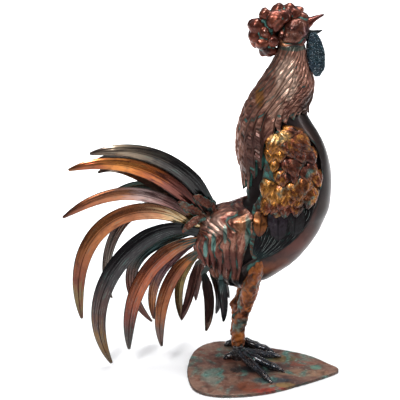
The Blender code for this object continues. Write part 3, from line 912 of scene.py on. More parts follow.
@dataclass(frozen=True)
class Vane:
    """Sizes of one grown feather in modelled millimetres."""

    half: float
    crease: float
    rib_depth: float
    ribs: float
    side: int
    rows: int
    columns: int
    finish: Patina
    sheet: float
    hidden: float = 0.0

    def values(self) -> dict[str, object]:
        """Inputs of the blade tree.

        Returns:
            Their values by name.
        """
        return {
            "Half width": self.half * UNIT,
            "Crease": self.crease * UNIT,
            "Rib depth": self.rib_depth * UNIT,
            "Ribs": self.ribs,
            "Hidden share": self.hidden,
            "Outward": (0.0, float(self.side), 0.0),
            "Rows": self.rows,
            "Columns": self.columns,
            "Finish": self.finish.material(),
        }


class BladeTree:
    """Geometry Nodes that grow one creased feather along a curve."""

    INPUTS = {
        "Geometry": "NodeSocketGeometry",
        "Half width": "NodeSocketFloat",
        "Crease": "NodeSocketFloat",
        "Rib depth": "NodeSocketFloat",
        "Ribs": "NodeSocketFloat",
        "Hidden share": "NodeSocketFloat",
        "Outward": "NodeSocketVector",
        "Rows": "NodeSocketInt",
        "Columns": "NodeSocketInt",
        "Finish": "NodeSocketMaterial",
    }

    def __init__(self) -> None:
        """Makes the tree with its inputs."""
        self.tree = bpy.data.node_groups.new("feather blade", "GeometryNodeTree")
        self.names = inputs_of(self.tree, self.INPUTS)
        self.build()

    def build(self) -> None:
        """Adds the nodes."""
        bench = Bench(self.tree)
        entry = self.tree.nodes.new("NodeGroupInput")
        given = {name: Wire(bench, entry.outputs[name]) for name in self.INPUTS}
        sizes = {"Size X": 1.0, "Size Y": 1.0, "Vertices X": given["Columns"], "Vertices Y": given["Rows"]}
        grid = bench.add("GeometryNodeMeshGrid", {}, sizes, "Mesh")
        flat = self.tree.nodes.new("ShaderNodeSeparateXYZ")
        self.tree.links.new(bench.add("GeometryNodeInputPosition").socket, flat.inputs[0])
        across = Wire(bench, flat.outputs["X"]) * 2
        length = Wire(bench, flat.outputs["Y"]) + 0.5
        along = ((length - given["Hidden share"]) / (1 - given["Hidden share"])).most(0.0)
        rib = (across * given["Ribs"] * math.pi).wave()
        middle = (across.size() * 9).least(1.0)
        fade = (length * 8).least(1.0) * ((1 - along) * 8).least(1.0)
        rim = 1 - across.size().eased(0.84, 0.98) * 0.65
        relief = (0.62 + rib * 0.10 * fade) * (0.35 + middle * 0.65) * rim
        kept = grid
        settings = {"data_type": "FLOAT", "domain": "POINT"}
        for name, value in (("along", along), ("across", across), ("relief", relief)):
            inputs = {"Geometry": kept, "Name": name, "Value": value}
            kept = bench.add("GeometryNodeStoreNamedAttribute", settings, inputs)
        sampled = self.tree.nodes.new("GeometryNodeSampleCurve")
        sampled.mode = "FACTOR"
        sampled.use_all_curves = True
        self.tree.links.new(given["Geometry"].socket, sampled.inputs["Curves"])
        self.tree.links.new(length.socket, sampled.inputs["Factor"])
        spine = Wire(bench, sampled.outputs["Position"])
        way = Wire(bench, sampled.outputs["Tangent"])
        sideways = bench.vector("NORMALIZE", bench.vector("CROSS_PRODUCT", way, given["Outward"]))
        broad = (0.5 + along * 2.2).least(1.0) * (1.08 - along**4) ** 0.75 * given["Half width"]
        fold = (along * 3).least(1.0) * ((1 - along) * 6).least(1.0).most(0.3) * given["Crease"]
        out = (1 - across.size() ** 1.3) * fold + (rib * fade + middle - 1) * given["Rib depth"]
        shift = bench.vector("SCALE", sideways)
        self.tree.links.new((across * broad).socket, shift.socket.node.inputs["Scale"])
        rise = bench.vector("SCALE", given["Outward"])
        self.tree.links.new(out.socket, rise.socket.node.inputs["Scale"])
        placed = bench.vector("ADD", bench.vector("ADD", spine, shift), rise)
        moved = bench.add("GeometryNodeSetPosition", {}, {"Geometry": kept, "Position": placed})
        solid = bench.add("GeometryNodeRealizeInstances", {}, (moved,))
        dressed = bench.add("GeometryNodeSetMaterial", {}, {"Geometry": solid, "Material": given["Finish"]})
        bench.leave("NodeGroupOutput", "Geometry", dressed)

    def grow(self, name: str, spine: np.ndarray, vane: Vane) -> bpy.types.Mesh:
        """Feather along a line of points, as a plain closed mesh.

        Args:
            name: Name of the mesh.
            spine: Points of its midrib in modelled millimetres.
            vane: Its sizes and finish.

        Returns:
            The feather's mesh.
        """
        line = bpy.data.curves.new(name, "CURVE")
        line.dimensions = "3D"
        spline = line.splines.new("POLY")
        spline.points.add(len(spine) - 1)
        spline.points.foreach_set("co", np.column_stack([spine * UNIT, np.ones(len(spine))]).ravel())
        stem = loose(name + " stem", line)
        grower = stem.modifiers.new("blade", "NODES")
        grower.node_group = self.tree
        for key, value in vane.values().items():
            grower[self.names[key]] = value
        blade = loose(name + " blade", plain_mesh(stem, name + " open"))
        wall = blade.modifiers.new("sheet", "SOLIDIFY")
        wall.thickness = vane.sheet * UNIT
        wall.offset = 0.0
        return outward(plain_mesh(blade, name))


class CovertTree:
    """Geometry Nodes that lay one feather shape on every point of a mesh."""

    INPUTS = {
        "Geometry": "NodeSocketGeometry",
        "Covert": "NodeSocketObject",
        "Finish": "NodeSocketMaterial",
    }

    def __init__(self) -> None:
        """Makes the tree with its inputs and nodes."""
        self.tree = bpy.data.node_groups.new("laid coverts", "GeometryNodeTree")
        self.names = inputs_of(self.tree, self.INPUTS)
        bench = Bench(self.tree)
        entry = self.tree.nodes.new("NodeGroupInput")
        given = {name: Wire(bench, entry.outputs[name]) for name in self.INPUTS}
        shape = bench.add("GeometryNodeObjectInfo", {}, {"Object": given["Covert"]}, "Geometry")
        kind = {"data_type": "FLOAT_VECTOR"}
        turned = bench.add("GeometryNodeInputNamedAttribute", kind, {"Name": "turned"})
        sized = bench.add("GeometryNodeInputNamedAttribute", kind, {"Name": "sized"})
        euler = bench.add("FunctionNodeEulerToRotation", {}, (turned,))
        inputs = {"Points": given["Geometry"], "Instance": shape, "Rotation": euler, "Scale": sized}
        laid = bench.add("GeometryNodeInstanceOnPoints", {}, inputs)
        solid = bench.add("GeometryNodeRealizeInstances", {}, (laid,))
        dressed = bench.add("GeometryNodeSetMaterial", {}, {"Geometry": solid, "Material": given["Finish"]})
        bench.leave("NodeGroupOutput", "Geometry", dressed)

    def lay(self, name: str, covert: bpy.types.Object, points: np.ndarray, turned: np.ndarray,
            sized: np.ndarray, finish: Patina) -> bpy.types.Mesh:
        """All the coverts as one plain mesh.

        Args:
            name: Name of the mesh.
            covert: The one feather that is laid.
            points: Root of each covert in modelled millimetres.
            turned: Its turn about the axes in radians.
            sized: Its size along its own axes.
            finish: Finish of them all.

        Returns:
            The mesh.
        """
        seeds = bpy.data.meshes.new(name + " points")
        seeds.from_pydata((points * UNIT).tolist(), [], [])
        for key, value in (("turned", turned), ("sized", sized)):
            stored = seeds.attributes.new(key, "FLOAT_VECTOR", "POINT")
            stored.data.foreach_set("vector", value.astype(np.float32).ravel())
        bed = loose(name + " points", seeds)
        layer = bed.modifiers.new("coverts", "NODES")
        layer.node_group = self.tree
        layer[self.names["Covert"]] = covert
        layer[self.names["Finish"]] = finish.material()
        rounder = bed.modifiers.new("round", "SUBSURF")
        rounder.levels = rounder.render_levels = 2
        made = plain_mesh(bed, name)
        made.shade_smooth()
        return made


PLATE_FINISH = Patina(
    "hammered plate copper",
    ((0.0, 104, 76, 68), (0.35, 150, 104, 86), (0.7, 178, 138, 116), (1.0, 150, 84, 58)),
    grain=24.0, stretch=(1.0, 1.5, 1.0), verdigris=0.7, hollow=(0.3, 0.05), patches=1.0, flecks=0.9,
    soot=0.8, roughness=0.42, metallic=0.35, bump=0.7, tarnish=0.38, coat=0.25, speckle=0.9,
    daubs=(
        Daub((-28, -112, 5), (24, 20, 9), (150, 74, 38), 0.8),
        Daub((20, -124, 5), (50, 12, 9), (200, 62, 34), 0.85),
        Daub((66, -70, 5), (46, 14, 9), (206, 158, 122), 0.7),
        Daub((-14, -58, 5), (52, 16, 9), (26, 40, 44), 0.9),
        Daub((14, -92, 5), (40, 10, 9), (30, 76, 90), 0.8),
        Daub((34, -24, 5), (28, 14, 9), (150, 128, 60), 0.7),
        Daub((34, -106, 5), (20, 9, 9), (190, 150, 84), 0.8),
        Daub((60, -40, 5), (30, 10, 9), (178, 84, 56), 0.7),
        Daub((88, -52, 5), (12, 9, 9), (120, 176, 152), 0.8),
        Daub((-86, -80, 5), (20, 34, 9), (158, 176, 160), 0.6),
        Daub((-70, -20, 5), (40, 24, 9), (150, 88, 66), 0.6),
    ),
)
HACKLE_FINISH = Patina(
    "hackle copper",
    ((0.0, 74, 44, 38), (0.3, 128, 80, 66), (0.6, 172, 124, 104), (0.8, 150, 100, 82), (1.0, 96, 56, 48)),
    grain=34.0, verdigris=0.85, hollow=(0.46, 0.2), flecks=0.6, soot=0.5, roughness=0.38, bump=0.5,
    coat=0.2, tarnish=0.26, combed=True,
    daubs=(
        # The two pale pink patches on the upper hackle paint a highlight.
        Daub((26, -40, 490), (22, 30, 40), (224, 188, 166), 0.8),
        Daub((8, -40, 450), (18, 30, 30), (206, 162, 140), 0.7),
        Daub((-22, -50, 396), (30, 60, 40), (68, 38, 34), 0.8, 1.0, 0.8),
        Daub((-16, -40, 462), (9, 30, 20), (170, 112, 40), 0.8),
        Daub((62, -20, 440), (22, 60, 34), (46, 34, 32), 0.8),
        Daub((-24, -50, 352), (36, 60, 56), (40, 22, 22), 0.95, 1.0, 0.9),
        Daub((44, -40, 428), (14, 30, 9), (36, 104, 92), 0.8),
        Daub((36, -24, 534), (30, 30, 4), (34, 92, 84), 0.7),
    ),
)
COMB_FINISH = Patina(
    "comb copper",
    ((0.0, 84, 32, 22), (0.4, 132, 60, 40), (0.7, 150, 76, 50), (1.0, 96, 42, 30)),
    grain=40.0, verdigris=0.7, hollow=(0.38, 0.2), flecks=0.3, soot=0.7, roughness=0.34, bump=0.22,
    coat=0.3, speckle=0.7, tarnish=0.4,
    daubs=(
        Daub((8, -20, 580), (16, 30, 9), (160, 84, 60), 0.6),
        Daub((-12, -14, 528), (16, 30, 10), (50, 26, 24), 0.8),
    ),
)
HEAD_FINISH = Patina(
    "head copper",
    ((0.0, 88, 38, 28), (0.4, 132, 70, 50), (0.7, 152, 94, 72), (1.0, 98, 48, 36)),
    grain=44.0, verdigris=0.85, hollow=(0.46, 0.24), flecks=0.3, soot=0.5, roughness=0.34, bump=0.2,
    coat=0.3, speckle=0.7,
    daubs=(
        Daub((38, -24, 534), (26, 14, 5), (34, 70, 66), 0.8),
        Daub((52, -16, 552), (9, 14, 14), (104, 64, 74), 0.7),
        Daub((20, -20, 542), (8, 14, 8), (150, 96, 44), 0.6),
    ),
)
BEAK_FINISH = Patina(
    "beak copper",
    ((0.0, 146, 66, 44), (0.6, 116, 50, 38), (1.0, 40, 26, 24)),
    reading=Reading.LENGTH, grain=60.0, verdigris=0.4, flecks=0.4, soot=0.3, roughness=0.25, bump=0.3,
)
DARK_BEAK_FINISH = Patina(
    "lower beak copper",
    ((0.0, 24, 56, 54), (0.6, 22, 40, 42), (1.0, 20, 26, 28)),
    reading=Reading.LENGTH, grain=60.0, verdigris=0.5, flecks=0.3, soot=0.3, roughness=0.3, bump=0.4,
)
WATTLE_FINISH = Patina(
    "wattle copper",
    ((0.0, 24, 44, 62), (0.5, 44, 84, 96), (1.0, 34, 62, 84)),
    grain=70.0, verdigris=0.2, flecks=0.8, soot=0.5, roughness=0.22, metallic=0.7, bump=0.9, pits=430.0,
    coat=0.5, tarnish=0.35,
)
# Near-black, almost unreflective tones paint the shade in the gaps between hackle, wings and saddle; the teal
# daubs are verdigris.
BODY_SHADE_FINISH = Patina(
    "body copper",
    ((0.0, 10, 9, 9), (0.5, 18, 14, 14), (1.0, 28, 19, 18)),
    grain=20.0, verdigris=0.2, flecks=0.1, soot=0.5, roughness=0.6, metallic=0.05, bump=0.25, coat=0.0,
    gloss=0.05,
    daubs=(
        Daub((-31, -24, 310), (4, 24, 34), (50, 104, 96), 0.5, 1.6),
        Daub((-36, -30, 284), (9, 40, 7), (50, 96, 90), 0.5, 2.0),
    ),
)
BREAST_FINISH = Patina(
    "breast copper",
    ((0.0, 38, 30, 29), (0.5, 58, 46, 43), (1.0, 74, 52, 45)),
    grain=14.0, verdigris=0.6, hollow=(0.34, 0.1), flecks=0.15, soot=0.5, roughness=0.38, bump=0.12,
    coat=0.2, tarnish=0.55, speckle=0.5,
    daubs=(
        Daub((34, -46, 404), (24, 30, 16), (196, 118, 34), 0.95, 0.5),
        Daub((50, -50, 222), (80, 40, 48), (118, 62, 50), 0.8, 0.5, 1.0),
        Daub((8, -50, 186), (50, 34, 22), (150, 78, 44), 0.8, 0.8, 0.9),
        Daub((-6, -54, 180), (26, 30, 12), (196, 110, 44), 0.7, 0.8, 0.7),
        Daub((70, -46, 300), (12, 30, 60), (96, 56, 48), 0.6),
    ),
)
WING_FINISH = Patina(
    "wing copper",
    ((0.0, 84, 34, 22), (0.3, 150, 74, 34), (0.5, 222, 146, 54), (0.7, 160, 82, 38), (1.0, 96, 44, 28)),
    grain=40.0, verdigris=0.9, hollow=(0.38, 0.2), patches=0.55, flecks=0.5, soot=0.9, roughness=0.3,
    bump=0.8, coat=0.4, tarnish=0.4, ribs=3.5,
    daubs=(
        Daub((14, -50, 404), (20, 30, 12), (240, 190, 110), 0.8),
        Daub((4, -50, 380), (22, 30, 20), (206, 132, 46), 0.9),
        Daub((46, -50, 362), (32, 30, 34), (112, 50, 32), 0.9),
        Daub((0, -50, 344), (16, 30, 26), (226, 156, 60), 0.8),
        Daub((8, -50, 312), (32, 30, 14), (236, 160, 70), 0.85),
        Daub((54, -50, 320), (20, 30, 26), (150, 84, 32), 0.7),
        Daub((58, -50, 284), (22, 30, 22), (52, 30, 32), 0.9),
        Daub((18, -50, 290), (30, 30, 9), (160, 78, 50), 0.7),
    ),
)
AMBER_LEAF = Patina(
    "amber wing leaf copper",
    ((0.0, 96, 50, 24), (0.5, 170, 100, 38), (1.0, 110, 54, 28)),
    reading=Reading.LENGTH, verdigris=0.3, hollow=(0.2, 0.08), flecks=0.1, soot=0.4, roughness=0.36,
    bump=0.1, coat=0.15, speckle=0.3, tarnish=0.45,
)
SLATE_LEAF = Patina(
    "slate wing leaf copper",
    ((0.0, 34, 26, 30), (0.5, 50, 42, 52), (1.0, 26, 22, 30)),
    reading=Reading.LENGTH, verdigris=0.2, hollow=(0.2, 0.08), flecks=0.1, soot=0.4, roughness=0.24,
    bump=0.1, coat=0.04, speckle=0.3, tarnish=0.4, metallic=0.1, gloss=0.08,
)
BLACK_LEAF = Patina(
    "black wing leaf copper",
    ((0.0, 28, 24, 26), (0.5, 22, 24, 28), (1.0, 26, 34, 38)),
    reading=Reading.LENGTH, verdigris=0.4, hollow=(0.2, 0.08), flecks=0.1, soot=0.4, roughness=0.3,
    bump=0.1, coat=0.04, speckle=0.3, tarnish=0.5, metallic=0.08, gloss=0.08,
)
PRIMARY_FINISH = Patina(
    "primary copper",
    ((0.0, 10, 10, 13), (0.45, 8, 11, 15), (0.8, 12, 22, 28), (1.0, 30, 62, 62)),
    reading=Reading.LENGTH, grain=60.0, verdigris=0.5, hollow=(0.26, 0.10), flecks=0.1, soot=0.4,
    roughness=0.4, metallic=0.02, bump=0.12, scratches=8.0, tarnish=0.4, speckle=0.4, coat=0.0,
    gloss=0.04,
)
WING_BED_FINISH = Patina(
    "wing bed copper",
    ((0.0, 44, 26, 20), (0.5, 110, 64, 34), (1.0, 60, 44, 36)),
    grain=60.0, verdigris=0.9, hollow=(0.5, 0.24), flecks=0.2, soot=0.7, roughness=0.4, metallic=0.6,
    bump=0.7,
)
SADDLE_FINISH = Patina(
    "saddle copper",
    (
        (0.0, 84, 36, 30), (0.35, 136, 76, 60), (0.6, 190, 136, 114), (0.8, 150, 88, 66),
        (1.0, 100, 50, 38),
    ),
    grain=40.0, verdigris=0.85, hollow=(0.34, 0.12), flecks=0.7, soot=0.5, roughness=0.36, bump=0.6,
    coat=0.2, tarnish=0.3, combed=True,
    daubs=(
        # The pale pink patch high on the saddle paints the gleam of light on its top.
        Daub((-84, -46, 254), (24, 40, 20), (222, 184, 166), 0.7),
        Daub((-40, -50, 262), (22, 50, 20), (184, 128, 80), 0.6, 0.7, 0.9),
        Daub((-96, -46, 200), (24, 50, 36), (108, 46, 38), 0.8),
        Daub((-60, -54, 190), (36, 50, 34), (88, 38, 30), 0.85),
        Daub((-84, -46, 226), (4.4, 30, 22), (120, 182, 170), 0.85, 0.9),
        Daub((-97, -44, 216), (4.0, 30, 19), (112, 176, 166), 0.75, 0.9),
        Daub((-66, -50, 244), (4.0, 30, 19), (112, 170, 158), 0.7, 0.9),
        Daub((-30, -54, 240), (6, 30, 36), (80, 140, 130), 0.7, 1.4),
        Daub((-50, -50, 148), (54, 60, 16), (26, 32, 32), 0.95),
    ),
)
LEG_FINISH = Patina(
    "leg copper",
    ((0.0, 84, 42, 28), (0.35, 190, 106, 42), (0.6, 120, 58, 34), (0.8, 176, 96, 44), (1.0, 74, 40, 32)),
    grain=24.0, verdigris=0.75, hollow=(0.3, 0.08), patches=0.8, flecks=0.2, soot=0.8, roughness=0.42,
    metallic=0.6, bump=0.7, tarnish=0.38, coat=0.1,
    daubs=(
        Daub((-28, -22, 160), (14, 30, 12), (216, 130, 44), 0.8),
        Daub((-30, -40, 128), (7, 12, 8), (90, 110, 130), 0.8),
        Daub((-40, -21, 52), (10, 30, 16), (206, 120, 40), 0.8),
        Daub((-44, -21, 130), (8, 30, 34), (58, 112, 104), 0.7),
        Daub((-36, -21, 80), (14, 30, 8), (60, 100, 96), 0.6),
    ),
)
FOOT_FINISH = Patina(
    "foot copper",
    ((0.0, 16, 18, 24), (0.5, 28, 34, 46), (0.8, 40, 60, 76), (1.0, 26, 28, 34)),
    grain=60.0, verdigris=0.3, hollow=(0.36, 0.2), flecks=0.7, soot=0.6, roughness=0.2, metallic=0.6,
    bump=0.3, coat=0.6, speckle=0.6,
)


@dataclass
class Trunk:
    """Breast, back, rump and belly under the other pieces."""

    rows: int = 90
    columns: int = 72

    def build(self) -> None:
        """Lofts the body and dresses it."""
        heights = np.linspace(BODY.low, BODY.high, self.rows)
        rings = BODY.place(heights[:, None], around(self.columns))
        place_piece(loft("body_shell", rings), BODY_SHADE_FINISH, "body", "body")


@dataclass
class BasePlate:
    """Hammered leaf-shaped plate with an uneven edge."""

    edge: float = 1.2
    scallop: float = 0.9
    hammering: float = 0.35
    steps: int = 240
    rings: int = 60
    outline: Rows = (
        (1.00, -0.10), (0.86, 0.16), (0.62, 0.46), (0.22, 0.70), (-0.20, 0.87), (-0.54, 1.00),
        (-0.78, 0.86), (-0.93, 0.55), (-1.00, 0.05), (-0.99, -0.42), (-0.90, -0.80), (-0.66, -0.98),
        (-0.34, -0.99), (0.04, -0.88), (0.44, -0.62), (0.80, -0.34),
    )

    def build(self) -> None:
        """Lofts the plate from its underside to the middle of its top."""
        low, high = (np.array(corner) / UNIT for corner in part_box("base_plate"))
        middle, half = (low + high)[:2] / 2, (high - low)[:2] / 2
        count = len(self.outline)
        places = np.linspace(1, count + 1, self.steps, endpoint=False)
        flat = read_curve(tuple((i, *row) for i, row in enumerate(self.outline + self.outline[:3])), places)
        flat = middle + flat * half
        wobble = self.scallop * (ripple(flat, 11, 3) - 1.15) * 0.5
        inward = (middle - flat) / np.linalg.norm(middle - flat, axis=1, keepdims=True)
        rings, levels = [], []
        for height, inset in ((0.0, 0.4), (0.8, 0.0), (PLATE_TOP - self.edge, 0.0), (PLATE_TOP - 0.3, 0.5)):
            ring = flat + inward * (inset - wobble)[:, None]
            rings.append(np.column_stack([ring, np.full(self.steps, height)]))
            levels.append(np.full(self.steps, 0.31))
        rim = rings[-1][:, :2]
        for share in np.linspace(0, 1, self.rings)[:-1]:
            inner = middle + (rim + inward * self.edge - middle) * (1 - share)
            bumps = ripple(inner, 17, 5) * 0.6 + ripple(inner, 8, 6) * 0.4
            rings.append(np.column_stack([inner, PLATE_TOP - self.hammering + bumps * self.hammering * 0.9]))
            levels.append(0.62 + 0.2 * bumps)
        mesh = loft("hammered_plate", np.array(rings), np.array(levels))
        place_piece(mesh, PLATE_FINISH, "base_plate", "base_plate")


@dataclass
class BreastPlate:
    """Smooth crescent around the front with a lipped edge beside each wing."""

    sheet: float = 4.0
    lip: float = 1.7
    dents: float = 0.5
    rows: int = 112
    columns: int = 105
    edge: Rows = (
        (158, -14), (170, -32), (186, -38), (200, -26), (216, 8), (236, 36), (262, 57), (300, 74),
        (340, 81), (374, 75), (396, 60), (415, 32), (432, 12),
    )

    def build(self) -> None:
        """Lays the crescent on the body's form."""
        share = np.linspace(0, 1, self.rows)
        line = spaced(self.edge, share)
        heights, turn = line[:, :1], BODY.turn_at(line[:, 0], line[:, 1])[:, None]
        across = np.sin(np.linspace(-1, 1, self.columns) * math.pi / 2)[None, :]
        flat = BODY.place(heights, turn * across)
        rim = np.exp(-(((1 - np.abs(across)) / 0.022) ** 2))
        beside = np.exp(-((1 - np.abs(across)) / 0.10))
        crumple = ripple(flat, 14, 8) * 0.9 * beside * eased(heights, 300, 400)
        rise = self.sheet + self.lip * rim * (1 + 0.35 * ripple(flat, 9, 4))
        rise = rise + self.dents * ripple(flat, 70, 2) + crumple
        outer = BODY.lifted(heights, turn * across, rise)
        inner = BODY.lifted(heights, turn * across, np.full_like(rise, -1.0))
        # Low relief along the seam beside the lip brings verdigris and painted hollow shade there.
        seam = np.exp(-(((1 - np.abs(across)) - 0.06) / 0.05) ** 2) * (0.6 + 0.4 * ripple(flat, 22, 5))
        relief = 0.6 + 0 * rise - 0.52 * seam
        mesh = shell("breast_crescent", outer, inner, relief)
        place_piece(mesh, BREAST_FINISH, "breast_plate", "breast_plate")


@dataclass
class Wing:
    """Folded wing: a bed with scalloped coverts, three broad leaves and long primaries."""

    side: int
    name: str
    coverts: CovertTree
    blades: BladeTree
    front: Rows = (
        (414, 22), (408, 40), (394, 58), (372, 72), (350, 77), (328, 78), (300, 73), (278, 67),
        (260, 57), (236, 38), (214, 8), (201, -18),
    )
    back: Rows = (
        (410, 8), (398, 0), (372, -5), (340, -8), (312, -10), (298, -15), (278, -23), (262, -26),
        (246, -27), (232, -27), (216, -26), (203, -22),
    )
    covert_counts: tuple[int, ...] = (3, 4, 5, 5, 6, 6, 6, 6)
    covert_length: float = 28.0
    covert_tilt: float = 10.0
    covert_lean: float = 14.0
    bed_rows: int = 80
    bed_columns: int = 52
    primaries: int = 6
    leaves: tuple[tuple[float, float, float, float, float, Patina], ...] = (
        (43, 292, 42, 244, 15.0, BLACK_LEAF),
        (15, 290, 17, 238, 15.5, SLATE_LEAF),
        (-9, 286, -13, 246, 11.5, AMBER_LEAF),
    )

    def at(self, share: np.ndarray, across: np.ndarray, lift: np.ndarray | float) -> np.ndarray:
        """Point of the wing.

        Args:
            share: Share of its length.
            across: Share of its breadth from the back.
            lift: Distance out from the body.

        Returns:
            The points.
        """
        share, across = np.broadcast_arrays(np.asarray(share, float), np.asarray(across, float))
        back, front = spaced(self.back, share), spaced(self.front, share)
        flat = back + (front - back) * across[..., None]
        height, x = flat[..., 0], flat[..., 1]
        out = BODY.side(x, height) + lift
        return np.stack([x, self.side * out, height], axis=-1)

    def arch(self, across: np.ndarray) -> np.ndarray:
        """How far the bed stands from the body across the wing."""
        return 1.5 + 3.6 * np.sin((0.08 + 0.84 * across) * math.pi)

    def bed(self) -> bpy.types.Mesh:
        """Sheet under the coverts.

        Returns:
            Its mesh.
        """
        share = np.linspace(0, 1, self.bed_rows)[:, None]
        across = np.linspace(0, 1, self.bed_columns)[None, :]
        rough = ripple(self.at(share, across, 0.0), 12, 9)
        outer = self.at(share, across, self.arch(across) + 0.7 * rough)
        inner = self.at(share, across, -6.0)
        return shell(f"{self.name}_bed", outer, inner, 0.4 + 0.2 * rough)

    def covert_shape(self) -> bpy.types.Object:
        """One rounded covert with its root at the origin and its tip along X.

        Returns:
            Its object, which is not a piece.
        """
        u = np.linspace(0, 1, 5)[:, None]
        v = np.linspace(-1, 1, 7)[None, :]
        half = 0.52 * np.sin(math.pi * (0.2 + 0.74 * u)) ** 0.6
        crown = 0.36 * (1 - v**2) * (0.3 + 0.7 * u) - 0.22 * u**4
        x = u * (1 - 0.14 * v**2 * u)
        outer = stacked(x, v * half, crown)
        inner = stacked(x * 0.98, v * half * 0.94, crown - 0.14)
        relief = 0.14 + 0.3 * (1 - u) ** 2 + 0.66 * (1 - v**4) * (0.3 + 0.7 * u)
        relief, along, across = np.broadcast_arrays(relief, u, v)
        mesh = shell("covert", outer * self.covert_length, inner * self.covert_length, relief, along, across)
        return loose("covert", mesh)

    def laid(self) -> bpy.types.Mesh:
        """Rows of coverts over the wing, uneven in size and lean.

        Returns:
            Their mesh.
        """
        chance = np.random.default_rng(21)
        points, turned, sized = [], [], []
        spots = []
        for row, count in enumerate(self.covert_counts):
            share = 0.005 + 0.071 * row
            for column in range(count):
                across = 0.15 + 0.83 * (column + 0.5 + 0.4 * (row % 2) - 0.2) / count
                size = 0.92 + chance.uniform(-0.2, 0.24)
                low = max(0.0, share + chance.normal(0, 0.012))
                spots.append((low, across + chance.normal(0, 0.025), size))
        tilt = math.tan(math.radians(self.covert_tilt))
        for share, across, size in spots:
            base = self.at(share, across, self.arch(across))
            down = self.at(share + 0.03, across, self.arch(across)) - base
            beside = self.at(share, across + 0.05, self.arch(across + 0.05)) - base
            down = Vector(down).normalized()
            normal = down.cross(Vector(beside)).normalized()
            if normal.y * self.side < 0:
                normal = -normal
            lean = Matrix.Rotation(math.radians(chance.normal(0, self.covert_lean)), 3, normal)
            down = lean @ (down + normal * tilt).normalized()
            normal = (normal - down * normal.dot(down)).normalized()
            across_way = normal.cross(down)
            matrix = Matrix((down, across_way, normal)).transposed()
            points.append(base)
            turned.append(tuple(matrix.to_euler()))
            sized.append((size, size * chance.uniform(0.9, 1.15), 1.0))
        covert = self.covert_shape()
        grids = (np.array(values) for values in (points, turned, sized))
        mesh = self.coverts.lay(f"{self.name}_coverts", covert, *grids, WING_FINISH)
        bpy.data.objects.remove(covert)
        return mesh

    def build(self) -> None:
        """Bed, coverts and primaries of one wing."""
        place_piece(self.bed(), WING_BED_FINISH, "wing", self.name)
        place_piece(self.laid(), WING_FINISH, "wing", self.name)
        for order, (x, height, tip_x, tip_height, half, finish) in enumerate(self.leaves):
            line_x, line_z = np.linspace(x, tip_x, 24), np.linspace(height, tip_height, 24)
            out = BODY.side(line_x, line_z) + 7.5 + 1.2 * order
            spine = np.column_stack([line_x, self.side * out, line_z])
            vane = Vane(half=half, crease=3.6, rib_depth=0.3, ribs=1.0, side=self.side, rows=40, columns=21,
                        finish=finish, sheet=1.2)
            leaf = self.blades.grow(f"{self.name}_leaf_{order + 1}", spine, vane)
            place_piece(leaf, finish, "wing", self.name)
        for order in range(self.primaries):
            across = 0.95 - 0.15 * order
            share = np.linspace(0.50 + 0.02 * order, 0.992 - 0.012 * order, 40)
            spine = self.at(share, np.full(40, across), self.arch(np.full(40, across)) + 1.2 + 0.35 * order)
            vane = Vane(half=6.6, crease=2.8, rib_depth=0.25, ribs=2.0, side=self.side, rows=60, columns=17,
                        finish=PRIMARY_FINISH, sheet=0.9)
            mesh = self.blades.grow(f"{self.name}_primary_{order + 1}", spine, vane)
            place_piece(mesh, PRIMARY_FINISH, "wing", self.name)


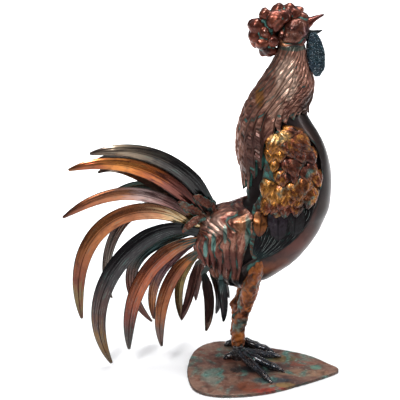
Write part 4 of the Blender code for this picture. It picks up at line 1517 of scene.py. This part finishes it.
@dataclass
class Hackle:
    """Cape of long locks that sweep back around the neck to a ragged hem."""

    edge: Rows = ((0, 434), (50, 433), (76, 427), (100, 404), (122, 362), (150, 330), (180, 313))
    sweep: float = 22.0
    slant: float = 118.0
    locks: int = 24
    point: float = 24.0
    depth: float = 5.2
    tiers: tuple[float, ...] = (0.78, 2.0)
    rows: int = 150
    columns: int = 364
    core: Pair = (22.0, 0.0)

    def build(self) -> None:
        """Raises the locks on the neck's form."""
        chance = np.random.default_rng(4)
        start = (np.arange(self.columns) * TAU / self.columns)[None, :]
        share = np.linspace(0, 1, self.rows)[:, None]
        hem = np.degrees(np.abs((start + math.pi) % TAU - math.pi))
        way = np.where(start < math.pi, 1.0, -1.0)
        turned = way * np.radians(hem - self.sweep * (1 - share**1.1) * np.sin(np.radians(hem)))
        lane = (hem + self.slant * (1 - share)) / 360 * self.locks + 0.22 * np.sin(hem / 13 + 7 * share)
        lane = lane + 0.12 * np.sin(hem / 6 - 15 * share) * np.sin(np.radians(hem))
        relief, level = (np.zeros((self.rows, self.columns)) for _ in range(2))
        taken = np.zeros((self.rows, self.columns), bool)
        top = 0.0
        for tier, end in enumerate(self.tiers):
            shifted = lane + 0.5 * (tier % 2)
            number = np.floor(shifted).astype(int) % self.locks
            peak = 1 - np.abs(2 * (shifted % 1.0) - 1)
            reach = end + 0.22 * (peak - 0.5) + chance.uniform(-0.12, 0.12, self.locks)[number]
            inside = (share < reach) & ~taken
            hairs = 0.5 + 0.5 * np.cos(shifted * TAU * 3 + 1.4 * np.sin(5 * share + lane))
            crown = 0.84 * np.sqrt(peak) + 0.16 * hairs
            thick = eased(share, top, min(end, 1.0))
            lift = (crown - 0.6) * self.depth * (0.6 + 0.4 * thick) + 1.1 * thick * (end < 1)
            relief = np.where(inside, lift, relief)
            level = np.where(inside, 0.10 + 0.80 * crown, level)
            taken |= inside
            top = end - 0.10
        points = (peak[-1] - 0.5) * self.point + chance.uniform(-5, 5, self.locks)[number[-1]]
        points = points * (0.3 + 0.7 * eased(hem[0], 70, 110))
        edge = read_curve(self.edge, hem)[..., 0] - points[None, :]
        height = NECK.high + (edge - NECK.high) * share
        flat = NECK.place(height, turned)
        relief = relief * np.minimum(1.0, 0.35 + 2.5 * share) + 0.8 * ripple(flat, 34, 7)
        outer = NECK.lifted(height, turned, relief)
        lip = NECK.lifted(height[-1:] + 1.0, turned[-1:], relief[-1:] - 2.4)
        inside = lip.copy()
        core = np.array(self.core)
        inside[..., :2] = core + (inside[..., :2] - core) * 0.75
        inside[..., 2] += 12
        level = np.concatenate([level, np.full((2, self.columns), 0.1)])
        lanes = np.concatenate([lane, lane[-1:], lane[-1:]]) * 0.9
        fallen = np.concatenate([share, share[-1:], share[-1:]])
        mesh = loft("hackle_locks", np.concatenate([outer, lip, inside]), level, fallen, lanes)
        place_piece(mesh, HACKLE_FINISH, "hackle", "hackle")


@dataclass
class Saddle:
    """Cape of wavy strands over the rump, hanging down both sides to a ragged hem."""

    start: Pair = (277, 214)
    end: Pair = (144, 140)
    turns: Pair = (98, 168)
    spread: float = 1.9
    sheet: float = 4.2
    bulge: float = 8.0
    strands: int = 8
    point: float = 32.0
    depth: float = 5.0
    rows: int = 194
    columns: int = 135

    def build(self) -> None:
        """Lays the strands on the body's form."""
        chance = np.random.default_rng(12)
        place = np.linspace(0, 1, self.columns)[None, :]
        share = np.linspace(-1, 1, self.rows)[:, None]
        fallen = np.abs(share)
        lane = place * self.strands + 0.26 * np.sin(7 * fallen + 9 * place)
        lane = lane + 0.14 * np.sin(15 * fallen + 6 * place)
        lane = lane + 0.34 * ripple(stacked(share * 90, place * 100), 55, 3)
        number = np.clip(np.floor(lane), 0, self.strands).astype(int)
        peak = 1 - np.abs(2 * (lane % 1.0) - 1)
        ragged = chance.uniform(-9, 8, self.strands + 1)[number]
        points = ((peak - 0.5) * self.point + ragged) * eased(fallen, 0.5, 1.0)
        start = self.start[0] + (self.start[1] - self.start[0]) * place
        end = self.end[0] + (self.end[1] - self.end[0]) * place
        height = start + (end - start) * fallen**2.3 - points
        last = np.radians(self.turns[0] + (self.turns[1] - self.turns[0]) * place)
        spread = (math.pi - last) * np.sin(np.minimum(1.0, self.spread * fallen) * math.pi / 2)
        turn = math.pi - np.sign(share) * spread
        flat = BODY.place(np.clip(height, BODY.low, BODY.high), turn)
        hairs = 0.5 + 0.5 * np.cos(lane * TAU * 3 + 2.5 * ripple(flat, 22, 3))
        crown = 0.84 * np.sqrt(peak) + 0.16 * hairs
        full = self.bulge * np.sin(np.minimum(1.0, fallen * 1.1) * math.pi) * eased(place, 0.1, 0.8)
        rise = (crown - 0.55) * self.depth * np.minimum(1.0, 0.35 + 2 * fallen) * (1.1 - 0.4 * fallen)
        rise = self.sheet + full + rise + 1.2 * ripple(flat, 26, 6)
        outer = BODY.lifted(height, turn, rise)
        inner = BODY.lifted(height, turn, np.where(fallen > 0.97, rise - 1.6, -1.0))
        level = 0.06 + 0.86 * crown * (0.75 + 0.25 * np.clip(ripple(flat, 24, 5) + 0.5, 0, 1))
        mesh = shell("saddle_strands", outer, inner, level, fallen, lane * 0.9)
        place_piece(mesh, SADDLE_FINISH, "saddle", "saddle")


@dataclass
class Head:
    """Skull and cheeks with brows, cheek lumps and eyes."""

    lumps: Rows = (
        (43.5, 572, 6.4, 3.0), (43.5, 572, 3.6, -3.4), (43.5, 572, 2.0, 3.0), (32, 563, 9.5, 4.2),
        (23, 550, 9.0, 4.0), (49, 556, 7.5, 3.2), (37, 546, 7.0, 2.0),
    )
    ridge: Rows = (
        (54, 581), (44, 584), (30, 583), (19, 577), (15, 567), (15, 556), (13, 545), (18, 538),
        (31, 536), (46, 538), (53, 545),
    )
    rows: int = 90
    columns: int = 140

    def build(self) -> None:
        """Swells the skull's form at each lump, on both sides."""
        heights = np.linspace(HEAD.low, HEAD.high, self.rows)[:, None]
        turns = around(self.columns)
        flat = HEAD.place(heights, turns)
        sides = eased(np.abs(np.sin(turns)), 0.25, 0.6)
        rise = 0.3 * ripple(flat, 16, 2)
        for x, height, size, lift in self.lumps:
            away = ((flat[..., 0] - x) ** 2 + (flat[..., 2] - height) ** 2) / size**2
            rise = rise + lift * np.exp(-away * 1.4) * sides
        line = spaced(self.ridge, np.linspace(0, 1, 110))
        squares = [(flat[..., 0] - x) ** 2 + (flat[..., 2] - height) ** 2 for x, height in line]
        gaps = np.stack(squares).min(axis=0)
        rise = rise + 2.0 * np.exp(-gaps / 8.0) * sides
        rise = rise - 1.8 * np.exp(-(np.sqrt(gaps) - 4.6) ** 2 / 4.0) * sides
        mesh = loft("head_shell", HEAD.lifted(heights, turns, rise), np.clip(0.5 + rise * 0.18, 0, 1))
        place_piece(mesh, HEAD_FINISH, "head", "head")


@dataclass
class Comb:
    """Rose comb of lumps run together, fallen back over the nape."""

    middle: Rows = (
        (12, 0, 587.9, 11), (28, 0, 587.2, 11.5), (42, 0, 586.5, 8.5), (-6, 0, 579, 11), (-17, 0, 562, 12.5),
        (-18, 0, 543, 12), (-7, 0, 528, 10.5), (2, 0, 556, 12),
    )
    pairs: Rows = (
        (7.5, 10, 572.5, 14.4), (-8, 8, 582, 8), (-20, 7, 565, 11), (-22, 6, 550, 9.5), (-8, 11.5, 556.5, 9),
        (5.5, 12.5, 543.5, 9.8), (-11.5, 9, 539.5, 10.6), (-1, 6, 529, 9.5), (21, 9.5, 579.5, 10.5),
        (37, 6.5, 584, 7.5),
    )
    swell: float = 1.2

    def build(self) -> None:
        """Fuses the lumps of both sides."""
        chance = np.random.default_rng(8)
        lumps = [ball(row[:3], row[3], (1.0, 0.85, 1.0)) for row in self.middle]
        for x, across, height, radius in self.pairs:
            squash = (chance.uniform(0.86, 1.2), 0.85, chance.uniform(0.82, 1.08))
            lumps += [ball((x, side * across, height), radius + self.swell, squash) for side in (-1, 1)]
        mesh = fused("comb_lobes", lumps, voxel=1.0, smoothing=18, swell=1.3, size=24, seed=11)
        place_piece(mesh, COMB_FINISH, "comb", "comb")


@dataclass
class Beak:
    """Open beak: a long hooked upper half and a short lower one."""

    upper: Rows = (
        (52, 566.0, 10.5, 11.0), (60, 568.5, 9.6, 9.8), (66, 573.6, 6.0, 7.6), (72, 577.4, 3.9, 5.2),
        (78, 579.8, 2.6, 2.7), (82, 581.5, 0.7, 0.8),
    )
    lower: Rows = (
        (52, 554.0, 6.0, 10.5), (60, 554.0, 5.6, 9.2), (67, 554.6, 4.6, 7.0), (74, 556.2, 3.0, 4.2),
        (80, 558.0, 0.8, 0.9),
    )

    def half(self, name: str, rows: Rows, hollow: float) -> bpy.types.Mesh:
        """One half, hollowed along the mouth.

        Args:
            name: Name of the mesh.
            rows: Place along X, height, half height and half width in each row.
            hollow: Share of the half height that is taken out, below for a positive one.

        Returns:
            The half's mesh.
        """
        share = np.linspace(0, 1, 50)[:, None]
        turn = around(40)
        x, height, tall, wide = np.moveaxis(spaced(rows, share[:, 0]), -1, 0)[..., None]
        inside = np.clip(-np.sign(hollow) * np.sin(turn), 0, 1) ** 2
        y = wide * np.cos(turn)
        z = height + tall * np.sin(turn) + hollow * inside * tall * (1 - np.abs(np.cos(turn)))
        x = x + 0.4 * ripple(stacked(x, y, z), 8, 3) * (1 - share)
        rings = stacked(x, y, z)
        return loft(name, rings, 0.65, np.broadcast_to(share, rings.shape[:2]))

    def build(self) -> None:
        """Both halves."""
        place_piece(self.half("beak_top", self.upper, 0.6), BEAK_FINISH, "upper_beak", "upper_beak")
        place_piece(self.half("beak_bottom", self.lower, -0.6), DARK_BEAK_FINISH, "lower_beak", "lower_beak")


@dataclass
class Wattle:
    """Pitted leaf hanging under the beak."""

    side: int
    name: str
    rows: Rows = (
        (490, 70, 77, 1.2), (500, 62, 83, 3.4), (514, 58.5, 84.5, 4.0), (532, 57, 82, 3.8),
        (547, 58, 76, 3.2), (556, 60, 70, 2.4),
    )
    spread: float = 8.5
    toe_out: float = 10.0

    def build(self) -> None:
        """Lofts the leaf upwards from its tip."""
        low, high = self.rows[0][0], self.rows[-1][0]
        heights = np.linspace(low, high, 60)[:, None]
        turn = around(56)
        rear, front, thick = np.moveaxis(read_curve(self.rows, heights[:, 0]), -1, 0)[..., None]
        out = self.spread + (high - heights) * math.tan(math.radians(self.toe_out)) / 2
        x = (rear + front) / 2 + (front - rear) / 2 * np.cos(turn)
        y = self.side * (out + thick * np.sin(turn))
        rings = stacked(x, y, heights)
        pits = ripple(rings, 4.5, 6)
        rings[..., 1] += self.side * np.sin(turn) * 0.5 * pits
        rings[..., 0] += 0.5 * ripple(rings, 9, 8)
        mesh = loft(f"{self.name}_leaf", rings, np.clip(0.5 + 0.35 * pits, 0, 1))
        place_piece(mesh, WATTLE_FINISH, "wattle", self.name)


@dataclass
class Leg:
    """Feathered thigh and lumpy shank with its spur."""

    side: int
    name: str
    rows: Rows = (
        (204, -10, 40, 24, 24), (186, -14, 42, 25, 27), (168, -18, 43, 26, 31), (150, -23, 40, 26, 32),
        (128, -27, 35, 25, 29), (104, -31, 28, 24, 24), (87, -34, 23, 23, 19), (70, -38, 21, 22, 18),
        (48, -41, 19, 21, 17), (31, -41, 20, 21, 18), (27, -41, 20, 20, 18),
    )

    def build(self) -> None:
        """Lofts the leg from the ankle up."""
        heights = np.linspace(self.rows[-1][0], self.rows[0][0], 120)[:, None]
        turn = around(72)
        sections = np.moveaxis(read_curve(self.rows, heights[:, 0]), -1, 0)
        middle, across, deep, wide = sections[..., None]
        thigh = np.clip((heights - 90) / 60, 0, 1)
        swell = 1 + 0.02 * thigh * np.cos(5 * turn)
        x = middle + deep / 2 * np.cos(turn) * swell
        x = x - 9 * np.clip(-np.cos(turn), 0, 1) ** 4 * np.exp(-(((heights - 86) / 8) ** 2))
        y = self.side * (across + wide / 2 * np.sin(turn) * swell)
        rings = stacked(x, y, heights)
        lumps = ripple(rings, 24, 5) * 2.2 + ripple(rings, 10, 6) * 0.9
        rings[..., 0] += np.cos(turn) * lumps
        rings[..., 1] += self.side * np.sin(turn) * lumps
        mesh = loft(f"{self.name}_shank", rings, np.clip(0.55 + 0.13 * lumps, 0, 1))
        place_piece(mesh, LEG_FINISH, "leg", self.name)


@dataclass
class Foot:
    """Ankle with four knuckled and wrinkled toes."""

    side: int
    name: str
    tips: Rows
    ankle: Pair = (-41, 21)
    radii: tuple[float, ...] = (8.2, 7.2, 7.6, 6.2, 5.6, 1.5)

    def toe(self, tip: Pair, scale: float) -> bpy.types.Mesh:
        """One toe from the ankle to its claw.

        Args:
            tip: Place of the claw along X and Y.
            scale: Its thickness against a front toe's.

        Returns:
            The toe's mesh.
        """
        share = np.linspace(0, 1, 70)
        start = np.array([self.ankle[0], self.side * self.ankle[1]])
        reach = np.array(tip) - start
        length = np.linalg.norm(reach)
        aside = np.array([-reach[1], reach[0]]) / length
        radius = spaced(tuple((value,) for value in self.radii), share)[:, 0] * scale
        radius = radius * (1 + 0.06 * np.cos(share * length / 2.8) * (1 - share))
        centre = start + share[:, None] * reach
        lift = PLATE_TOP + radius * 0.72 + 8 * (1 - share) ** 2
        turn = around(28)[0]
        flat = centre[:, None, :] + np.cos(turn)[None, :, None] * radius[:, None, None] * aside
        rings = np.concatenate([flat, (lift[:, None] + radius[:, None] * np.sin(turn))[..., None]], axis=-1)
        return loft("toe", rings)

    def build(self) -> None:
        """Fuses the toes with the ankle."""
        heights = np.array([PLATE_TOP - 1, PLATE_TOP + 8, PLATE_TOP + 15, 26, 31])
        widths = np.array([11, 12, 11, 9.5, 9.0])
        turn = around(40)
        x = self.ankle[0] + widths[:, None] * np.cos(turn)
        y = self.side * self.ankle[1] + widths[:, None] * np.sin(turn)
        ankle = loft("ankle", stacked(x, y, heights[:, None]))
        toes = [self.toe(tip, 0.85 if order == 3 else 1.0) for order, tip in enumerate(self.tips)]
        mesh = fused(f"{self.name}_toes", [ankle, *toes], voxel=1.0, smoothing=3, swell=0.25, size=9, seed=9)
        place_piece(mesh, FOOT_FINISH, "foot", self.name)


def banded(name: str, *tones: tuple[float, int, int, int], **changes: float) -> Patina:
    """Finish of a tail feather.

    Args:
        name: Name of its material.
        tones: Its tones from root to tip.
        changes: Fields of the finish that differ from those of the other feathers.

    Returns:
        The finish.
    """
    sizes = {
        "grain": 26.0, "verdigris": 0.5, "hollow": (0.26, 0.08), "flecks": 0.1, "soot": 0.4,
        "roughness": 0.22, "bump": 0.08, "speckle": 0.35, "coat": 0.4, "tarnish": 0.28,
    }
    return Patina(name, tones, reading=Reading.LENGTH, **{**sizes, **changes})


@dataclass(frozen=True)
class Plume:
    """One tail feather in side view, with its finish.

    Headings are degrees from the front, upwards, and pulls are shares of the feather's reach.
    """

    name: str
    root: Pair
    heading: float
    tip: Pair
    last_heading: float
    pulls: Pair
    width: float
    finish: Patina

    def line(self, places: np.ndarray) -> np.ndarray:
        """Arc from the root to the tip.

        Args:
            places: Shares of the way along it.

        Returns:
            Its points in side view.
        """
        root, tip = np.array(self.root, float), np.array(self.tip, float)
        reach = np.linalg.norm(tip - root)
        angles = np.radians([self.heading, self.last_heading])
        first, last = (np.array([math.cos(angle), math.sin(angle)]) for angle in angles)
        t = places[:, None]
        near, far = root + first * reach * self.pulls[0], tip - last * reach * self.pulls[1]
        return (1 - t) ** 3 * root + 3 * t * (1 - t) ** 2 * near + 3 * t**2 * (1 - t) * far + t**3 * tip


UPPER_SICKLE = banded(
    "upper sickle copper", (0.0, 36, 70, 68), (0.12, 34, 34, 36), (0.5, 64, 60, 58), (0.8, 160, 140, 116),
    (1.0, 84, 66, 58), scratches=22.0, tarnish=0.16,
)
# The bright gold band past the middle is partly the feather's own gold, partly a painted highlight.
LONG_SICKLE = banded(
    "long upper sickle copper", (0.0, 70, 120, 106), (0.08, 110, 52, 42), (0.35, 150, 84, 70),
    (0.48, 222, 122, 56), (0.7, 250, 160, 76), (0.85, 180, 90, 48), (1.0, 150, 104, 60), tarnish=0.18,
)
# The pale pink stop near the middle paints a highlight.
MIDDLE_SICKLE = banded(
    "middle sickle copper", (0.0, 206, 150, 66), (0.12, 110, 74, 70), (0.28, 160, 110, 104),
    (0.45, 230, 196, 188), (0.6, 214, 140, 96), (0.85, 190, 106, 62), (1.0, 72, 58, 56),
)
# The cream stops at the root are partly the feather's own gold, partly a painted reflection.
GREAT_SICKLE = banded(
    "great sickle copper", (0.0, 240, 180, 80), (0.04, 255, 236, 190), (0.12, 250, 206, 150),
    (0.18, 206, 144, 104), (0.35, 176, 104, 62), (0.55, 182, 110, 58), (0.8, 128, 64, 44),
    (0.93, 120, 104, 62), (1.0, 96, 60, 50), tarnish=0.14,
)
BROAD_SICKLE = banded(
    "broad sickle copper", (0.0, 22, 30, 32), (0.2, 38, 38, 42), (0.55, 54, 50, 52), (0.75, 92, 62, 54),
    (0.88, 128, 92, 44), (1.0, 96, 74, 52), scratches=24.0,
)
LOWER_SICKLE = banded(
    "lower sickle copper", (0.0, 44, 80, 76), (0.05, 178, 108, 62), (0.3, 160, 84, 58),
    (0.55, 180, 98, 60), (0.75, 110, 52, 42), (0.9, 52, 52, 50), (1.0, 84, 62, 56), scratches=16.0,
    tarnish=0.12,
)
SIDE_HANGER = banded(
    "side hanger copper", (0.0, 80, 92, 84), (0.05, 190, 112, 46), (0.3, 150, 82, 54),
    (0.7, 176, 100, 50), (0.88, 110, 90, 82), (1.0, 90, 60, 52),
)
SMALL_HANGER = banded(
    "small hanger copper", (0.0, 70, 76, 68), (0.06, 104, 60, 46), (0.7, 96, 52, 44), (1.0, 78, 44, 40),
)
RUMP_HANGER = banded(
    "rump hanger copper", (0.0, 54, 70, 64), (0.15, 66, 42, 36), (0.7, 84, 50, 40), (1.0, 104, 74, 52),
)
VENT_HANGER = banded(
    "vent hanger copper", (0.0, 48, 84, 80), (0.4, 40, 30, 30), (1.0, 34, 28, 30), verdigris=0.7,
)
FAR_UPPER = banded(
    "far upper sickle copper", (0.0, 30, 34, 36), (0.6, 44, 42, 42), (1.0, 40, 40, 40), scratches=20.0,
)
FAR_LONG = banded(
    "far long sickle copper", (0.0, 60, 44, 40), (0.6, 104, 76, 48), (1.0, 84, 64, 50),
)
FAR_MIDDLE = banded(
    "far middle sickle copper", (0.0, 30, 60, 54), (0.6, 44, 70, 60), (1.0, 50, 60, 54),
)
FAR_GREAT = banded(
    "far great sickle copper", (0.0, 60, 30, 26), (0.4, 92, 42, 34), (0.6, 110, 96, 88),
    (1.0, 118, 104, 92),
)
FAR_BROAD = banded(
    "far broad sickle copper", (0.0, 60, 100, 96), (0.4, 44, 76, 76), (0.7, 124, 74, 60),
    (1.0, 104, 62, 52),
)
FAR_LOWER = banded(
    "far lower sickle copper", (0.0, 100, 60, 60), (0.5, 104, 74, 80), (0.8, 180, 112, 60),
    (1.0, 104, 60, 56),
)
FAR_HANGER = banded(
    "far hanger copper", (0.0, 120, 100, 50), (0.5, 140, 118, 60), (1.0, 96, 62, 50),
)
LEAF = Patina(
    "leaf copper",
    ((0.0, 84, 40, 34), (0.5, 150, 84, 62), (1.0, 176, 112, 84)),
    grain=50.0, verdigris=0.8, hollow=(0.46, 0.24), patches=0.6, flecks=0.9, soot=0.8, roughness=0.3,
    bump=0.8,
)


@dataclass
class Tail:
    """Near and far layers of long feathers, each outside the one above it, and the leaves at their root."""

    blades: BladeTree
    sheet: float = 1.3
    crease: float = 0.17
    roots: Pair = (3.2, 3.4)
    tips: Pair = (15.0, 6.1)
    leaf_roots: Pair = (10.0, 6.0)
    leaf_tips: Pair = (15.0, 6.0)
    rump: Pair = (-62, 222)
    buried: float = 0.55
    ribs: float = 4.0
    leaf_ribs: float = 5.5
    crumple: float = 1.5
    near: tuple[Plume, ...] = (
        Plume("upper_sickle", (-86, 270), 115, (-279, 367), 193, (0.40, 0.40), 26, UPPER_SICKLE),
        Plume("long_upper_sickle", (-104, 264), 127, (-313, 342), 199, (0.50, 0.30), 24, LONG_SICKLE),
        Plume("middle_sickle", (-111, 248), 137, (-325, 264), 215, (0.40, 0.50), 22, MIDDLE_SICKLE),
        Plume("great_sickle", (-122, 245), 141, (-302, 87), 279, (0.43, 0.71), 27, GREAT_SICKLE),
        Plume("broad_sickle", (-122, 237), 154, (-255, 6), 298, (0.27, 0.56), 29, BROAD_SICKLE),
        Plume("lower_sickle", (-114, 221), 189, (-224, 36), 273, (0.25, 0.55), 26, LOWER_SICKLE),
        Plume("side_hanger", (-112, 201), 212, (-169, 45), 284, (0.40, 0.25), 21, SIDE_HANGER),
        Plume("small_hanger", (-110, 184), 256, (-136, 97), 250, (0.50, 0.50), 14, SMALL_HANGER),
        Plume("rump_hanger", (-100, 168), 290, (-96, 80), 254, (0.30, 0.40), 16, RUMP_HANGER),
        Plume("vent_hanger", (-72, 158), 282, (-68, 100), 262, (0.30, 0.40), 13, VENT_HANGER),
    )
    far: tuple[Plume, ...] = (
        Plume("upper_sickle", (-98, 276), 131, (-270, 349), 191, (0.25, 0.55), 20, FAR_UPPER),
        Plume("long_upper_sickle", (-111, 261), 144, (-272, 323), 216, (0.55, 0.25), 19, FAR_LONG),
        Plume("middle_sickle", (-112, 248), 140, (-270, 268), 218, (0.55, 0.55), 19, FAR_MIDDLE),
        Plume("great_sickle", (-114, 239), 141, (-258, 91), 292, (0.70, 0.40), 18, FAR_GREAT),
        Plume("broad_sickle", (-116, 222), 192, (-190, 42), 310, (0.70, 0.40), 20, FAR_BROAD),
        Plume("lower_sickle", (-114, 202), 213, (-187, 44), 279, (0.40, 0.40), 18, FAR_LOWER),
        Plume("side_hanger", (-108, 178), 222, (-138, 38), 279, (0.40, 0.30), 15, FAR_HANGER),
        Plume("small_hanger", (-100, 168), 258, (-113, 74), 270, (0.50, 0.30), 12, SMALL_HANGER),
        Plume("rump_hanger", (-90, 160), 290, (-77, 45), 259, (0.60, 0.30), 14, VENT_HANGER),
        Plume("vent_hanger", (-74, 154), 283, (-54, 73), 284, (0.40, 0.40), 12, VENT_HANGER),
    )
    leaves: tuple[Plume, ...] = (
        Plume("upper_leaf", (-85, 278), 160, (-115, 297), 146, (0.33, 0.33), 14, LEAF),
        Plume("middle_leaf", (-106, 268), 160, (-139, 288), 140, (0.33, 0.33), 14, LEAF),
        Plume("lower_leaf", (-104, 262), 206, (-133, 239), 232, (0.33, 0.33), 13, LEAF),
    )

    def grow(self, layer: str, side: int, plume: Plume, root: float, tip: float) -> None:
        """One feather from inside the rump to its tip.

        Args:
            layer: Name of its layer.
            side: Side on which it lies, -1 for the right.
            plume: Its shape in side view.
            root: Distance of its root from the middle plane.
            tip: Distance of its tip.
        """
        leaf = plume.finish is LEAF
        places = np.linspace(0, 1, 70)
        arc = plume.line(places)
        inside = arc[0] + self.buried * (np.array(self.rump) - arc[0])
        hidden = inside + np.linspace(0, 1, 12)[:-1, None] * (arc[0] - inside)
        flat = np.vstack([hidden, arc])
        out = np.concatenate([np.full(len(hidden), root), root + (tip - root) * places**1.2])
        spine = np.column_stack([flat[:, 0], side * out, flat[:, 1]])
        steps = np.linalg.norm(np.diff(spine, axis=0), axis=1)
        rib_depth, ribs, rows = (0.5, self.leaf_ribs, 50) if leaf else (0.12, self.ribs, 96)
        buried = float(steps[:len(hidden)].sum() / steps.sum())
        vane = Vane(half=plume.width / 2, crease=self.crease * plume.width, rib_depth=rib_depth, ribs=ribs,
                    side=side, rows=rows, columns=25, finish=plume.finish, sheet=self.sheet, hidden=buried)
        name = f"{layer}_{plume.name}"
        mesh = self.blades.grow(f"{name}_blade", spine, vane)
        if leaf:
            points = surface(mesh)[0]
            points[:, 0] += self.crumple * UNIT * ripple(points / UNIT, 9, len(plume.name))
            points[:, 2] += self.crumple * UNIT * ripple(points / UNIT, 8, len(plume.name) + 5)
            mesh.vertices.foreach_set("co", points.astype(np.float32).ravel())
            outward(mesh)
        place_piece(mesh, plume.finish, self.slot(plume), name)

    @staticmethod
    def slot(plume: Plume) -> str:
        """Record's slot of a feather."""
        return "tail_leaf" if plume.name.endswith("leaf") else "tail_" + plume.name

    def build(self) -> None:
        """Every feather of both layers."""
        for layer, side, plumes in (("right", -1, self.near), ("left", 1, self.far)):
            groups = ((plumes, self.roots, self.tips), (self.leaves, self.leaf_roots, self.leaf_tips))
            for group, roots, tips in groups:
                for order, plume in enumerate(group):
                    root, tip = (start + step * order for start, step in (roots, tips))
                    self.grow(layer, side, plume, root, tip)


@dataclass(frozen=True)
class Softbox:
    """Rectangular lamp in metres, aimed at a point and narrowed to a beam."""

    place: Triple
    aim: Triple
    size: Pair
    watts: float
    beam: float = 180.0

    def build(self, name: str) -> None:
        """Adds the lamp.

        Args:
            name: Name of the lamp.
        """
        lamp = bpy.data.lights.new(name, "AREA")
        lamp.shape = "RECTANGLE"
        lamp.size, lamp.size_y = self.size
        lamp.energy = self.watts
        lamp.spread = math.radians(self.beam)
        box = loose(name, lamp)
        box.location = self.place
        box.rotation_euler = (Vector(self.aim) - Vector(self.place)).to_track_quat("-Z", "Y").to_euler()


@dataclass
class Studio:
    """Pale floor, soft light and the camera of the photograph."""

    camera_m: Triple = (-0.1057, -1.35, 0.78)
    pitch: float = 20.17
    focal_px: float = 887.3
    frame_px: float = 400.0
    lamps: tuple[Softbox, ...] = (
        Softbox((-0.9, -1.5, 2.1), (-0.05, 0.0, 0.35), (0.5, 0.5), 34.0),
        Softbox((1.9, -0.5, 1.1), (0.0, 0.0, 0.35), (0.3, 1.2), 9.0),
        Softbox((0.0, 3.7, 3.2), (0.0, 3.7, 0.0), (7.0, 7.2), 320.0, 50.0),
    )

    def build(self) -> None:
        """Camera, floor, lights and sky."""
        lens = bpy.data.cameras.new("camera")
        lens.sensor_width = 36.0
        lens.lens = lens.sensor_width * self.focal_px / self.frame_px
        camera = loose("camera", lens)
        camera.location = self.camera_m
        camera.rotation_euler = (math.radians(90 - self.pitch), 0.0, 0.0)
        bpy.context.scene.camera = camera
        ground = bpy.data.meshes.new("floor")
        shape = bmesh.new()
        bmesh.ops.create_grid(shape, x_segments=1, y_segments=1, size=20.0)
        shape.to_mesh(ground)
        shape.free()
        floor = loose("floor", ground)
        floor.location.z = -0.0005
        white = bpy.data.materials.new("pale floor")
        white.use_nodes = True
        matt = white.node_tree.nodes["Principled BSDF"]
        matt.inputs["Base Color"].default_value = (0.9, 0.9, 0.9, 1)
        matt.inputs["Roughness"].default_value = 1.0
        ground.materials.append(white)
        for order, lamp in enumerate(self.lamps):
            lamp.build(f"softbox {order}")
        self.sky()
        bpy.context.scene.view_settings.view_transform = "Standard"

    @staticmethod
    def sky() -> None:
        """World that is dark at the horizon and bright overhead."""
        world = bpy.data.worlds.new("studio")
        world.use_nodes = True
        world.node_tree.nodes.clear()
        bench = Bench(world.node_tree)
        way = bench.add("ShaderNodeTexCoord", output="Generated")
        up = bench.add("ShaderNodeSeparateXYZ", {}, (way,), "Z")
        stops = (
            (0.5, (0.14, 0.14, 0.15, 1)), (0.66, (0.2, 0.2, 0.22, 1)),
            (0.85, (0.9, 0.92, 1.0, 1)), (1.0, (1, 1, 1, 1)),
        )
        tint = bench.add("ShaderNodeValToRGB", {"stops": stops}, (up * 0.5 + 0.5,))
        glow = bench.add("ShaderNodeBackground", {}, {"Color": tint, "Strength": 0.55})
        bench.leave("ShaderNodeOutputWorld", "Surface", glow)
        bpy.context.scene.world = world


def main() -> None:
    """Builds every sub-assembly in order."""
    logging.basicConfig(level=logging.INFO, format="%(message)s")
    blades, coverts = BladeTree(), CovertTree()
    Studio().build()
    BasePlate().build()
    Foot(-1, "right_foot", ((11, -104), (35, -69), (33, -19), (-66, -25))).build()
    Foot(1, "left_foot", ((22, -3), (6, 12), (-14, 21), (-64, 20))).build()
    Trunk().build()
    BreastPlate().build()
    for side, hand in ((-1, "right"), (1, "left")):
        Wing(side, f"{hand}_wing", coverts, blades).build()
        Leg(side, f"{hand}_leg").build()
        Wattle(side, f"{hand}_wattle").build()
    Saddle().build()
    Hackle().build()
    Head().build()
    Comb().build()
    Beak().build()
    Tail(blades).build()


if __name__ == "__main__":
    main()
